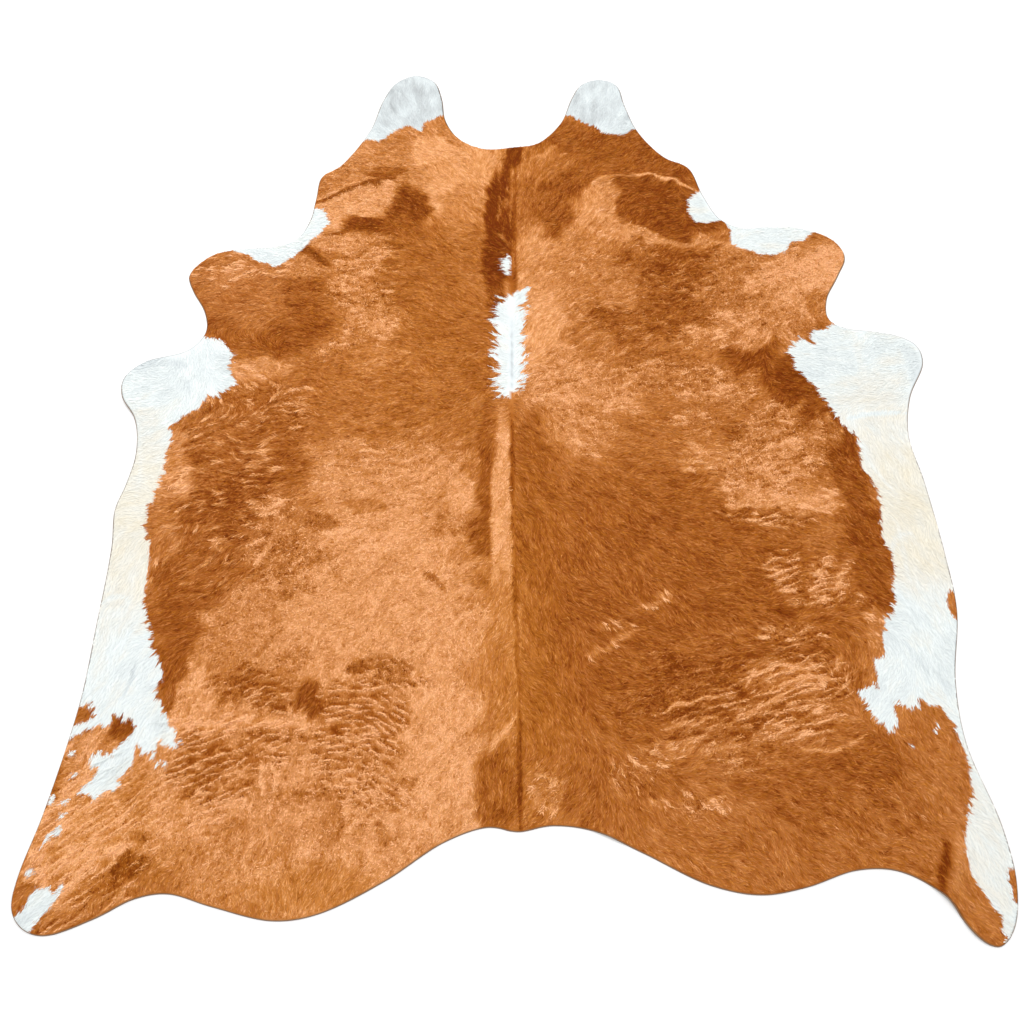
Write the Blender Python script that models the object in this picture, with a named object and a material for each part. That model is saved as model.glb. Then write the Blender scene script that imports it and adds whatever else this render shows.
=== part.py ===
"""A cowhide rug, laid flat: one whole tanned hide, leather below and short lying hair above.

The hide is one sheet about 6 mm thick. Its rim is a smooth closed curve through the places of the
two tables below, measured along and across the spine. Its folds are the low creases of the neck,
the spine, the leg roots and the lifted rims, and between them it lies flat on its underside.
"""

from math import ceil, cos, hypot, pi

import bmesh
import bpy
from mathutils import Vector

# Driving sizes, in metres.
HIDE_THICKNESS = 0.006  # 2.5 mm of leather and 3.5 mm of lying hair
RIM_ROUNDING = 0.0022  # the hair rounds off the top of the rim
RIM_SEGMENTS = 2
RIM_STEP = 0.022  # spacing of the points along the rim
NET_STEP = 0.085  # spacing of the cuts across the flat field
FOLD_CUTS = (-1.0, -0.5, 0.0, 0.5, 1.0)  # cuts beside a crease, in half-widths of it
LIFT_CUTS = (0.35, 0.7)  # cuts across a lifted rim, in radii of it
CURVE_STEPS = 24  # steps between two places of the rim before it is spaced out
MERGE_DISTANCE = 0.0004

# The rim from the neck to the tail. "out" is the distance from the spine, and "up" is the
# distance from the tail root towards the neck.
RIM_COLUMNS = ("place", "out", "up")
RIGHT_RIM = (
    ("neck dip side", 0.060, 1.895),
    ("cheek root, inner", 0.130, 1.975),
    ("cheek, inner", 0.165, 2.075),
    ("cheek tip, inner", 0.195, 2.130),
    ("cheek tip", 0.250, 2.151),
    ("cheek tip, outer", 0.300, 2.128),
    ("cheek, outer", 0.321, 2.045),
    ("cheek root, outer", 0.355, 1.940),
    ("neck side", 0.425, 1.842),
    ("neck corner", 0.490, 1.802),
    ("neck below corner", 0.522, 1.705),
    ("neck notch", 0.565, 1.614),
    ("foreleg root", 0.620, 1.583),
    ("foreleg saddle", 0.690, 1.587),
    ("foreleg upper", 0.780, 1.582),
    ("foreleg corner", 0.865, 1.541),
    ("foreleg tip", 0.890, 1.485),
    ("foreleg lower", 0.860, 1.415),
    ("shoulder notch, upper", 0.821, 1.340),
    ("shoulder notch", 0.819, 1.277),
    ("breast root", 0.865, 1.247),
    ("breast upper", 0.982, 1.228),
    ("breast corner", 1.032, 1.197),
    ("breast tip", 1.041, 1.145),
    ("breast lower", 0.990, 1.040),
    ("flank hollow", 0.967, 0.930),
    ("belly, upper", 0.983, 0.800),
    ("belly", 0.997, 0.610),
    ("belly, lower", 0.998, 0.475),
    ("flank, lower", 0.963, 0.310),
    ("thigh hollow", 0.960, 0.175),
    ("thigh", 1.000, 0.007),
    ("shank", 1.006, -0.105),
    ("hock, outer", 0.982, -0.190),
    ("hock", 0.945, -0.222),
    ("hock, inner", 0.905, -0.203),
    ("hind leg root", 0.852, -0.126),
    ("hind arch, outer", 0.775, -0.083),
    ("hind arch", 0.690, -0.080),
    ("rump, outer", 0.580, -0.113),
    ("rump", 0.487, -0.127),
    ("rump, inner", 0.385, -0.108),
    ("tail slope", 0.255, -0.047),
    ("tail shoulder", 0.155, -0.004),
    ("tail side", 0.070, 0.006),
)
LEFT_RIM = (
    ("neck dip side", 0.095, 1.875),
    ("cheek root, inner", 0.165, 1.914),
    ("cheek, inner", 0.206, 1.985),
    ("cheek upper, inner", 0.220, 2.075),
    ("cheek tip, inner", 0.245, 2.143),
    ("cheek tip", 0.300, 2.168),
    ("cheek tip, outer", 0.360, 2.135),
    ("cheek, outer", 0.395, 2.060),
    ("cheek root, outer", 0.425, 1.945),
    ("neck side", 0.503, 1.807),
    ("neck corner", 0.550, 1.769),
    ("neck below corner", 0.560, 1.690),
    ("neck above notch", 0.570, 1.610),
    ("neck notch", 0.600, 1.545),
    ("foreleg root", 0.650, 1.520),
    ("foreleg saddle", 0.760, 1.508),
    ("foreleg corner", 0.825, 1.488),
    ("foreleg tip", 0.877, 1.423),
    ("foreleg lower", 0.862, 1.373),
    ("shoulder notch, upper", 0.820, 1.300),
    ("shoulder notch", 0.809, 1.237),
    ("breast root", 0.845, 1.183),
    ("breast upper", 0.955, 1.144),
    ("breast tip", 0.998, 1.095),
    ("breast lower", 0.990, 1.037),
    ("flank hollow, upper", 0.950, 0.975),
    ("flank hollow", 0.932, 0.880),
    ("belly, upper", 0.942, 0.795),
    ("belly", 0.957, 0.727),
    ("belly, lower", 0.948, 0.630),
    ("flank, lower", 0.949, 0.430),
    ("thigh hollow", 0.953, 0.260),
    ("thigh", 0.985, 0.030),
    ("shank", 1.011, -0.095),
    ("hock, outer", 1.008, -0.155),
    ("hock", 0.980, -0.190),
    ("hock, inner", 0.935, -0.202),
    ("hind leg root", 0.840, -0.170),
    ("hind arch, outer", 0.770, -0.135),
    ("hind arch", 0.705, -0.125),
    ("rump, outer", 0.612, -0.149),
    ("rump", 0.488, -0.175),
    ("rump, inner", 0.400, -0.163),
    ("tail slope", 0.270, -0.102),
    ("tail shoulder", 0.150, -0.026),
    ("tail side", 0.060, 0.003),
)
NECK_DIP = (0.000, 1.882)
TAIL_ROOT = (0.000, -0.006)

# Soft creases: a straight run of raised hide from one end to the other, highest in its middle.
# "x" is the distance to the right of the spine, and "y" the distance up from the tail root.
CREASE_COLUMNS = ("place", "start_x", "start_y", "end_x", "end_y", "half_width", "height")
CREASES = (
    ("left neck, upper", -0.545, 1.690, -0.335, 1.770, 0.032, 0.009),
    ("left neck, lower", -0.530, 1.580, -0.360, 1.600, 0.030, 0.008),
    ("left neck notch", -0.590, 1.530, -0.505, 1.460, 0.020, 0.008),
    ("right neck, upper", 0.300, 1.790, 0.510, 1.723, 0.030, 0.010),
    ("right neck, upper bend", 0.195, 1.730, 0.345, 1.785, 0.032, 0.009),
    ("right neck, lower", 0.340, 1.540, 0.585, 1.533, 0.030, 0.008),
    ("right neck, lower bend", 0.230, 1.600, 0.385, 1.533, 0.030, 0.007),
    ("right neck, upright", 0.235, 1.765, 0.225, 1.560, 0.040, 0.006),
    ("spine at the neck, left", -0.036, 1.860, -0.030, 1.420, 0.026, 0.005),
    ("spine at the neck, right", 0.028, 1.860, 0.026, 1.420, 0.026, 0.005),
    ("spine at the tail, left", -0.042, 0.220, -0.034, 0.010, 0.026, 0.005),
    ("spine at the tail, right", 0.030, 0.220, 0.036, 0.010, 0.024, 0.005),
    ("right belly strip", 0.825, 0.980, 0.965, 1.000, 0.020, 0.005),
    ("right thigh pleat", 0.930, 0.010, 0.845, -0.180, 0.022, 0.012),
)

# Rims and dimples that stand a little off the floor: highest at the middle, nothing at the radius.
LIFT_COLUMNS = ("place", "x", "y", "radius", "height")
LIFTS = (
    ("left breast rim", -0.975, 1.020, 0.090, 0.007),
    ("right breast dimple", 0.905, 1.215, 0.070, 0.006),
    ("right thigh pleat mouth", 0.862, -0.135, 0.050, 0.008),
    ("right hock rim", 0.905, -0.195, 0.050, 0.005),
    ("left hock rim", -0.995, -0.150, 0.080, 0.005),
    ("right tail slope rim", 0.190, -0.015, 0.050, 0.005),
)

HAIR_COLOUR = (0.42, 0.13, 0.025, 1.0)
HAIR_ROUGHNESS = 0.62


def rows(table, columns):
    """The rows of a table, each as a dictionary by the names of its columns."""
    return [dict(zip(columns, row)) for row in table]


def rim_places():
    """The places of the closed rim: down the right side, over the tail and up the left side."""
    right = [Vector((row["out"], row["up"])) for row in rows(RIGHT_RIM, RIM_COLUMNS)]
    left = [Vector((-row["out"], row["up"])) for row in rows(LEFT_RIM, RIM_COLUMNS)]
    return [Vector(NECK_DIP), *right, Vector(TAIL_ROOT), *reversed(left)]


def curve_point(before, start, end, after, share):
    """A point of the centripetal curve from start to end, at a share of the way."""
    knots = [0.0]
    for one, other in ((before, start), (start, end), (end, after)):
        knots.append(knots[-1] + (other - one).length ** 0.5)
    t = knots[1] + share * (knots[2] - knots[1])

    def mix(one, other, low, high):
        return one.lerp(other, (t - low) / (high - low))

    first = mix(before, start, knots[0], knots[1])
    middle = mix(start, end, knots[1], knots[2])
    last = mix(end, after, knots[2], knots[3])
    near = mix(first, middle, knots[0], knots[2])
    far = mix(middle, last, knots[1], knots[3])
    return mix(near, far, knots[1], knots[2])


def rim_curve(places, step):
    """The closed curve through the places, as points about one step apart."""
    count = len(places)
    fine = []
    for i in range(count):
        around = [places[(i + k) % count] for k in (-1, 0, 1, 2)]
        fine += [curve_point(*around, k / CURVE_STEPS) for k in range(CURVE_STEPS)]
    lengths = [0.0]
    for i, point in enumerate(fine):
        lengths.append(lengths[-1] + (fine[(i + 1) % len(fine)] - point).length)
    wanted = ceil(lengths[-1] / step)
    points = []
    i = 0
    for k in range(wanted):
        run = lengths[-1] * k / wanted
        while lengths[i + 1] < run:
            i += 1
        share = (run - lengths[i]) / (lengths[i + 1] - lengths[i])
        points.append(fine[i].lerp(fine[(i + 1) % len(fine)], share))
    return points


def soft_step(share):
    """1 at a share of nothing, falling smoothly to 0 at a share of one."""
    return 0.5 + 0.5 * cos(pi * min(share, 1.0))


def crease_height(crease, x, y):
    """How high a crease raises the hide over the point, tapering to nothing at both ends."""
    start = Vector((crease["start_x"], crease["start_y"]))
    run = Vector((crease["end_x"], crease["end_y"])) - start
    along = (Vector((x, y)) - start).dot(run) / run.length_squared
    if not 0.0 < along < 1.0:
        return 0.0
    aside = (Vector((x, y)) - start - along * run).length
    return crease["height"] * soft_step(aside / crease["half_width"]) * soft_step(abs(2 * along - 1))


def lift_height(lift, x, y):
    """How high a lifted rim or dimple stands over the point."""
    return lift["height"] * soft_step(hypot(x - lift["x"], y - lift["y"]) / lift["radius"])


def relief(x, y):
    """How high the hide stands off the floor at the point."""
    highest = max(crease_height(crease, x, y) for crease in rows(CREASES, CREASE_COLUMNS))
    return max(highest, *(lift_height(lift, x, y) for lift in rows(LIFTS, LIFT_COLUMNS)))


def cut(bm, faces, point, direction):
    """Cuts the faces along the upright plane through a point, square to a direction."""
    geometry = {item for face in faces for item in (*face.verts, *face.edges, face)}
    bmesh.ops.bisect_plane(
        bm,
        geom=list(geometry),
        dist=MERGE_DISTANCE,
        plane_co=(point[0], point[1], 0.0),
        plane_no=(direction[0], direction[1], 0.0),
    )


def faces_near(bm, x, y, reach):
    """The faces with a corner or their middle within reach of the point."""
    middle = Vector((x, y, 0.0))
    return [
        face
        for face in bm.faces
        if any((vert.co - middle).length < reach for vert in face.verts)
        or (face.calc_center_median() - middle).length < reach
    ]


def cut_field(bm, points):
    """Cuts the field into a square net, so that it stays flat and even."""
    for axis in (0, 1):
        low = min(point[axis] for point in points)
        high = max(point[axis] for point in points)
        direction = [0.0, 0.0]
        direction[axis] = 1.0
        for k in range(1, ceil((high - low) / NET_STEP)):
            point = [0.0, 0.0]
            point[axis] = low + k * NET_STEP
            cut(bm, bm.faces[:], point, direction)


def cut_creases(bm):
    """Cuts the net along and across each crease, where the hide bends."""
    for crease in rows(CREASES, CREASE_COLUMNS):
        start = Vector((crease["start_x"], crease["start_y"]))
        end = Vector((crease["end_x"], crease["end_y"]))
        middle = start.lerp(end, 0.5)
        run = (end - start).normalized()
        aside = Vector((-run.y, run.x))
        reach = (end - start).length / 2
        for share in FOLD_CUTS:
            near = faces_near(bm, middle.x, middle.y, reach)
            cut(bm, near, middle + share * crease["half_width"] * aside, aside)
    for lift in rows(LIFTS, LIFT_COLUMNS):
        for share in (*LIFT_CUTS, *(-part for part in LIFT_CUTS)):
            near = faces_near(bm, lift["x"], lift["y"], lift["radius"])
            cut(bm, near, (lift["x"], lift["y"] + share * lift["radius"]), (0.0, 1.0))


def hide_mesh():
    """The whole hide: the rim filled, cut into a net, raised over its creases and given depth."""
    points = rim_curve(rim_places(), RIM_STEP)
    bm = bmesh.new()
    bm.faces.new([bm.verts.new((point.x, point.y, 0.0)) for point in reversed(points)])
    cut_field(bm, points)
    cut_creases(bm)
    bmesh.ops.dissolve_degenerate(bm, dist=MERGE_DISTANCE, edges=bm.edges[:])
    bmesh.ops.triangulate(bm, faces=bm.faces[:], quad_method="BEAUTY", ngon_method="BEAUTY")
    for vert in bm.verts:
        vert.co.z = relief(vert.co.x, vert.co.y)
    bmesh.ops.recalc_face_normals(bm, faces=bm.faces[:])
    if sum(face.normal.z for face in bm.faces) > 0.0:
        bmesh.ops.reverse_faces(bm, faces=bm.faces[:])
    raised = bmesh.ops.extrude_face_region(bm, geom=bm.faces[:], use_keep_orig=True)
    top = [item for item in raised["geom"] if isinstance(item, bmesh.types.BMVert)]
    bmesh.ops.translate(bm, verts=top, vec=(0.0, 0.0, HIDE_THICKNESS))
    bmesh.ops.recalc_face_normals(bm, faces=bm.faces[:])
    rim = [edge for edge in bm.edges if is_top_rim(edge)]
    bmesh.ops.bevel(
        bm,
        geom=rim,
        offset=RIM_ROUNDING,
        segments=RIM_SEGMENTS,
        profile=0.5,
        affect="EDGES",
        material=-1,
    )
    low = [min(point[axis] for point in points) for axis in (0, 1)]
    high = [max(point[axis] for point in points) for axis in (0, 1)]
    middle = Vector(((low[0] + high[0]) / 2, (low[1] + high[1]) / 2, 0.0))
    bmesh.ops.translate(bm, verts=bm.verts[:], vec=-middle)
    bmesh.ops.triangulate(bm, faces=bm.faces[:], quad_method="BEAUTY", ngon_method="BEAUTY")
    mesh = bpy.data.meshes.new("hide")
    bm.to_mesh(mesh)
    bm.free()
    return mesh


def is_top_rim(edge):
    """True for an edge between the upright rim wall and the upper side."""
    if len(edge.link_faces) != 2:
        return False
    slopes = sorted(face.normal.z for face in edge.link_faces)
    return abs(slopes[0]) < 0.3 and slopes[1] > 0.7


def hair_material():
    """Short ginger hair, softly shining."""
    material = bpy.data.materials.new("hair_on_hide")
    material.use_nodes = True
    shader = material.node_tree.nodes["Principled BSDF"]
    shader.inputs["Base Color"].default_value = HAIR_COLOUR
    shader.inputs["Roughness"].default_value = HAIR_ROUGHNESS
    shader.inputs["Metallic"].default_value = 0.0
    return material


for old in list(bpy.data.objects):
    bpy.data.objects.remove(old, do_unlink=True)

mesh = hide_mesh()
mesh.materials.append(hair_material())
mesh.shade_smooth()
mesh.set_sharp_from_angle(angle=pi / 4)
hide = bpy.data.objects.new("hide", mesh)
bpy.context.scene.collection.objects.link(hide)
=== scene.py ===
"""The looks of a cowhide rug that lies flat on a pale floor.

Places on the hide are in metres: x is the distance to the right of the spine, and y the distance
up from the tail root towards the neck.
"""
import math

import bmesh
import bpy
import numpy as np
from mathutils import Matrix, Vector


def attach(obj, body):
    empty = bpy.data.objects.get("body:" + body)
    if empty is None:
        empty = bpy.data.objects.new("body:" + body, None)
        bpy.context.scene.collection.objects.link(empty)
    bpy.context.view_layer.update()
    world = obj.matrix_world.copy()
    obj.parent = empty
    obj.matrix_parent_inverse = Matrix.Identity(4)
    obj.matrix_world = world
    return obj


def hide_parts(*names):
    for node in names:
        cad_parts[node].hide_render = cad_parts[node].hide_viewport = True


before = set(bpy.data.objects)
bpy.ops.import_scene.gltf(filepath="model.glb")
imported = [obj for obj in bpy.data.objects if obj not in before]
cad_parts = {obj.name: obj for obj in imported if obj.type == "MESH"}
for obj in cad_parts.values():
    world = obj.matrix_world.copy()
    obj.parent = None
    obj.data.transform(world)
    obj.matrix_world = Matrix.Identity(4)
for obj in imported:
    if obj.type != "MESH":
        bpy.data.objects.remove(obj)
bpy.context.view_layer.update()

# --- Floor, light and camera -----------------------------------------------------------------
# The rug lies on a plain pale floor in soft studio light. The camera stands just behind the tail,
# a hand to the left of the spine, at a standing person's reach above it, and looks down.
SPINE_X = -0.01476  # the spine in the CAD frame
TAIL_Y = -0.9729  # the tail root in the CAD frame
CAMERA_ASIDE = -0.012
CAMERA_BACK = -0.25
CAMERA_HEIGHT = 2.085
CAMERA_SLOPE = math.radians(65.0)  # below the horizon
CAMERA_LENS = 34.0
FLOOR_REACH = 9.0
FLOOR_GREY = 0.86
SKY_STRENGTH = 1.03
LAMP_PLACE = Vector((-0.5, 1.0, 3.6))
LAMP_SIZE = 2.2
LAMP_POWER = 72.0

scene = bpy.context.scene
scene.view_settings.view_transform = "Standard"

camera = bpy.data.objects.new("camera", bpy.data.cameras.new("camera"))
camera.data.lens = CAMERA_LENS
camera.location = (SPINE_X + CAMERA_ASIDE, TAIL_Y + CAMERA_BACK, CAMERA_HEIGHT)
camera.rotation_euler = (math.pi / 2 - CAMERA_SLOPE, 0.0, 0.0)
scene.collection.objects.link(camera)
scene.camera = camera

world = bpy.data.worlds.new("studio")
world.use_nodes = True
world.node_tree.nodes["Background"].inputs["Color"].default_value = (1.0, 1.0, 1.0, 1.0)
world.node_tree.nodes["Background"].inputs["Strength"].default_value = SKY_STRENGTH
scene.world = world

lamp = bpy.data.objects.new("lamp", bpy.data.lights.new("lamp", "AREA"))
lamp.data.size = LAMP_SIZE
lamp.data.energy = LAMP_POWER
lamp.location = LAMP_PLACE
lamp.rotation_mode = "QUATERNION"
lamp.rotation_quaternion = (-LAMP_PLACE).to_track_quat("-Z", "Y")
scene.collection.objects.link(lamp)


def new_material(name, roughness, gloss):
    """A material with a plain shader, and its nodes, links and shader."""
    material = bpy.data.materials.new(name)
    material.use_nodes = True
    tree = material.node_tree
    shader = tree.nodes["Principled BSDF"]
    shader.inputs["Roughness"].default_value = roughness
    shader.inputs["Specular IOR Level"].default_value = gloss
    return material, tree.nodes, tree.links, shader


def linear(red, green, blue):
    """A screen colour of 0 to 255 as the renderer's own."""
    shares = [part / 255.0 for part in (red, green, blue)]
    return [s / 12.92 if s <= 0.04045 else ((s + 0.055) / 1.055) ** 2.4 for s in shares] + [1.0]


floor_mesh = bpy.data.meshes.new("floor")
bm = bmesh.new()
bmesh.ops.create_grid(bm, x_segments=1, y_segments=1, size=FLOOR_REACH)
bm.to_mesh(floor_mesh)
bm.free()
floor = bpy.data.objects.new("floor", floor_mesh)
floor_material, _, _, floor_shader = new_material("pale_floor", 0.7, 0.2)
floor_shader.inputs["Base Color"].default_value = (FLOOR_GREY, FLOOR_GREY, FLOOR_GREY, 1.0)
floor_mesh.materials.append(floor_material)
scene.collection.objects.link(floor)

# --- Leather ---------------------------------------------------------------------------------
# The tanned skin itself: one sheet 2.2 mm thick, cut with a knife all round. Its underside is
# suede, and it keeps the low creases of the neck, the spine and the leg roots.
LEATHER_RINGS = (  # inset, height
    (0.004, 0.0), (0.0003, 0.0), (0.0, 0.0005), (0.0, 0.0017), (0.0004, 0.0022), (0.005, 0.0022)
)
CUT_REACH = 0.001  # how far in the knife's dark cut shows
CUT_COLOUR = linear(124, 96, 74)
SUEDE = ((0.3, 164, 142, 116), (0.72, 203, 186, 160))  # place on the ramp, red, green, blue
SUEDE_CLOUDS = (7.0, 6.0)  # how many to a metre, and how detailed
SUEDE_NAP = (420.0, 3.0, 0.5, 0.0006)  # the same, then strength and depth
LEATHER_STEP = 0.022  # of the net that both sides are cut in
RIM_STEP = 0.005
WELD = 0.00002
SLIVER = 0.0003
BEND_LIMIT = 0.0008  # a rim point that turns less than this is only a cut
BACK_TURN = 0.6  # and one that turns back is a stray
# Creases as in the solid: place, start, end, half width, height.
CREASES = (
    ("left neck, upper", -0.545, 1.69, -0.335, 1.77, 0.032, 0.009),
    ("left neck, lower", -0.53, 1.58, -0.36, 1.6, 0.03, 0.008),
    ("left neck notch", -0.59, 1.53, -0.505, 1.46, 0.02, 0.008),
    ("right neck, upper", 0.3, 1.79, 0.51, 1.723, 0.03, 0.01),
    ("right neck, upper bend", 0.195, 1.73, 0.345, 1.785, 0.032, 0.009),
    ("right neck, lower", 0.34, 1.54, 0.585, 1.533, 0.03, 0.008),
    ("right neck, lower bend", 0.23, 1.6, 0.385, 1.533, 0.03, 0.007),
    ("right neck, upright", 0.235, 1.765, 0.225, 1.56, 0.04, 0.006),
    ("spine at the neck, left", -0.036, 1.86, -0.03, 1.42, 0.026, 0.005),
    ("spine at the neck, right", 0.028, 1.86, 0.026, 1.42, 0.026, 0.005),
    ("spine at the tail, left", -0.042, 0.22, -0.034, 0.01, 0.026, 0.005),
    ("spine at the tail, right", 0.03, 0.22, 0.036, 0.01, 0.024, 0.005),
    ("right belly strip", 0.825, 0.98, 0.965, 1.0, 0.02, 0.005),
    ("right thigh pleat", 0.93, 0.01, 0.845, -0.18, 0.022, 0.012),
    ("left belly, thin", -0.838, 0.38, -0.868, 0.262, 0.009, 0.0025),
    ("left breast, thin", -0.96, 1.075, -0.8, 1.11, 0.014, 0.002),
    ("right breast, thin", 0.86, 1.2, 0.985, 1.15, 0.016, 0.0025),
    ("right breast, low", 0.85, 1.08, 0.98, 1.06, 0.016, 0.002),
    ("right shank, thin", 0.96, 0.12, 0.985, -0.06, 0.012, 0.002),
)
# Lifted rims and dimples: place, x, y, radius, height.
LIFTS = (
    ("left breast rim", -0.975, 1.02, 0.09, 0.007),
    ("right breast dimple", 0.905, 1.215, 0.07, 0.006),
    ("right thigh pleat mouth", 0.862, -0.135, 0.05, 0.008),
    ("right hock rim", 0.905, -0.195, 0.05, 0.005),
    ("left hock rim", -0.995, -0.15, 0.08, 0.005),
    ("right tail slope rim", 0.19, -0.015, 0.05, 0.005),
)


def soft_step(share):
    """1 at a share of nothing, falling smoothly to 0 at a share of one."""
    return 0.5 + 0.5 * np.cos(np.pi * np.clip(share, 0.0, 1.0))


def standing(x, y):
    """How high the hide stands off the floor at each place."""
    highest = np.zeros_like(x)
    for _, start_x, start_y, end_x, end_y, half_width, height in CREASES:
        run_x, run_y = end_x - start_x, end_y - start_y
        along = ((x - start_x) * run_x + (y - start_y) * run_y) / (run_x**2 + run_y**2)
        aside = np.hypot(x - start_x - along * run_x, y - start_y - along * run_y)
        rise = height * soft_step(aside / half_width) * soft_step(np.abs(2.0 * along - 1.0))
        highest = np.maximum(highest, rise)
    for _, middle_x, middle_y, radius, height in LIFTS:
        aside = np.hypot(x - middle_x, y - middle_y)
        highest = np.maximum(highest, height * soft_step(aside / radius))
    return highest


def smooth_loop(points, step):
    """The closed loop through the points on one smooth curve, about one step apart."""
    before, after, later = (np.roll(points, shift, axis=0) for shift in (1, -1, -2))
    knots = [np.zeros(len(points))]
    for start, end in ((before, points), (points, after), (after, later)):
        knots.append(knots[-1] + np.hypot(*(end - start).T) ** 0.5)
    parts = np.ceil(np.hypot(*(after - points).T) / step).astype(int)
    run = []
    for i, count in enumerate(parts):
        t0, t1, t2, t3 = (knot[i] for knot in knots)
        for t in t1 + (t2 - t1) * np.arange(count) / count:
            first = (before[i] * (t1 - t) + points[i] * (t - t0)) / (t1 - t0)
            middle = (points[i] * (t2 - t) + after[i] * (t - t1)) / (t2 - t1)
            last = (after[i] * (t3 - t) + later[i] * (t - t2)) / (t3 - t2)
            near = (first * (t2 - t) + middle * (t - t0)) / (t2 - t0)
            far = (middle * (t3 - t) + last * (t - t1)) / (t3 - t1)
            run.append((near * (t2 - t) + far * (t - t1)) / (t2 - t1))
    return np.array(run)


def lower_rim(node):
    """The rim of the solid's underside, once round to the left, as places on the hide."""
    shell = bmesh.new()
    shell.from_mesh(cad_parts[node].data)
    bmesh.ops.remove_doubles(shell, verts=shell.verts[:], dist=WELD)
    rim = {edge for edge in shell.edges if sum(face.normal.z < -0.5 for face in edge.link_faces) == 1}
    # From the leftmost corner, so that each run has the same start and slivers elsewhere stay out.
    start = min((vert for edge in rim for vert in edge.verts), key=lambda vert: tuple(vert.co))
    vert, edge = start, next(edge for edge in start.link_edges if edge in rim)
    places = []
    while not places or vert != start:
        places.append((vert.co.x - SPINE_X, vert.co.y - TAIL_Y))
        vert = edge.other_vert(vert)
        edge = next(other for other in vert.link_edges if other in rim and other != edge)
    shell.free()
    places = np.array(places)
    following = np.roll(places, -1, axis=0)
    if np.sum(places[:, 0] * following[:, 1] - places[:, 1] * following[:, 0]) < 0.0:
        places = places[::-1]
    straight = [False]
    while not all(straight):
        ways = np.roll(places, -1, axis=0) - places
        ways /= np.hypot(*ways.T)[:, None]
        straight = np.sum(ways * np.roll(ways, 1, axis=0), axis=1) > BACK_TURN
        places = places[straight]
    earlier = np.roll(ways, 1, axis=0)
    bend = np.abs(earlier[:, 0] * ways[:, 1] - earlier[:, 1] * ways[:, 0])
    return places[bend > BEND_LIMIT]


rim = smooth_loop(lower_rim("hide"), RIM_STEP)
rim_ways = np.roll(rim, -1, axis=0) - np.roll(rim, 1, axis=0)
rim_outward = np.stack((rim_ways[:, 1], -rim_ways[:, 0]), axis=1)
rim_outward /= np.hypot(*rim_outward.T)[:, None]


def cut_in_net(bm, side, step):
    """Cuts the faces of one side into a square net, strip by strip."""
    for axis in (0, 1):
        ahead = [face for face in bm.faces if face.material_index == side]
        reach = [vert.co[axis] for face in ahead for vert in face.verts]
        low, high = min(reach), max(reach)
        count = math.ceil((high - low) / step)
        for k in range(1, count):
            place = low + (high - low) * k / count
            point, across = [0.0, 0.0, 0.0], [0.0, 0.0, 0.0]
            point[axis], across[axis] = place, 1.0
            edges = dict.fromkeys(edge for face in ahead for edge in face.edges)
            verts = dict.fromkeys(vert for edge in edges for vert in edge.verts)
            cut = bmesh.ops.bisect_plane(
                bm, geom=[*ahead, *edges, *verts], dist=WELD, plane_co=point, plane_no=across
            )
            faces = [item for item in cut["geom"] if isinstance(item, bmesh.types.BMFace)]
            ahead = [face for face in faces if face.calc_center_median()[axis] > place]


def closed_sheet(name, rings, top_step, bottom_step):
    """A closed sheet on the hide's outline, its rim rounded through the rings."""
    bm = bmesh.new()
    outward = bm.verts.layers.float_vector.new("outward")
    cut = bm.verts.layers.float.new("cut")
    inset, height = rings[0]
    verts = []
    for (x, y), (out_x, out_y) in zip(rim, rim_outward):
        vert = bm.verts.new((x - out_x * inset, y - out_y * inset, height))
        vert[outward] = (out_x, out_y, 0.0)
        verts.append(vert)
    edges = [bm.edges.new((one, other)) for one, other in zip(verts, verts[1:] + verts[:1])]
    bmesh.ops.contextual_create(bm, geom=edges)
    bm.faces.ensure_lookup_table()
    bm.faces[0].material_index = 1
    for (inset, height), (next_inset, next_height) in zip(rings, rings[1:]):
        raised = bmesh.ops.extrude_edge_only(bm, edges=edges)["geom"]
        edges = [item for item in raised if isinstance(item, bmesh.types.BMEdge)]
        for vert in {vert for edge in edges for vert in edge.verts}:
            vert.co += vert[outward] * (inset - next_inset)
            vert.co.z = next_height
            vert[cut] = float(next_inset < CUT_REACH)
        edges = [edge for edge in edges if all(abs(v.co.z - next_height) < WELD for v in edge.verts)]
    walls = len(bm.faces)
    bmesh.ops.contextual_create(bm, geom=edges)
    bm.faces.ensure_lookup_table()
    bm.faces[walls].material_index = 2
    for side, step in ((1, bottom_step), (2, top_step)):
        cut_in_net(bm, side, step)
    bmesh.ops.dissolve_degenerate(bm, dist=SLIVER, edges=bm.edges[:])
    bmesh.ops.recalc_face_normals(bm, faces=bm.faces[:])
    for face in bm.faces:
        face.smooth = True
        face.material_index = 0
    bmesh.ops.triangulate(bm, faces=bm.faces[:], quad_method="BEAUTY", ngon_method="BEAUTY")
    mesh = bpy.data.meshes.new(name)
    bm.to_mesh(mesh)
    bm.free()
    places = np.empty(len(mesh.vertices) * 3, dtype=np.float32)
    mesh.vertices.foreach_get("co", places)
    places = places.reshape(-1, 3)
    places[:, 2] += standing(places[:, 0], places[:, 1])
    planar_map(mesh, places)
    mesh.vertices.foreach_set("co", (places + (SPINE_X, TAIL_Y, 0.0)).astype(np.float32).ravel())
    mesh.update()
    return mesh, places


MAP_SIZE = 2.5  # the length of hide that fills a baked map
MAP_CORNER = (-1.25, -0.3)
HIDDEN_SHARE = 0.07  # the hidden side is mapped small, in a corner that the hide leaves free
HIDDEN_CORNER = (0.01, 0.92)


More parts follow.
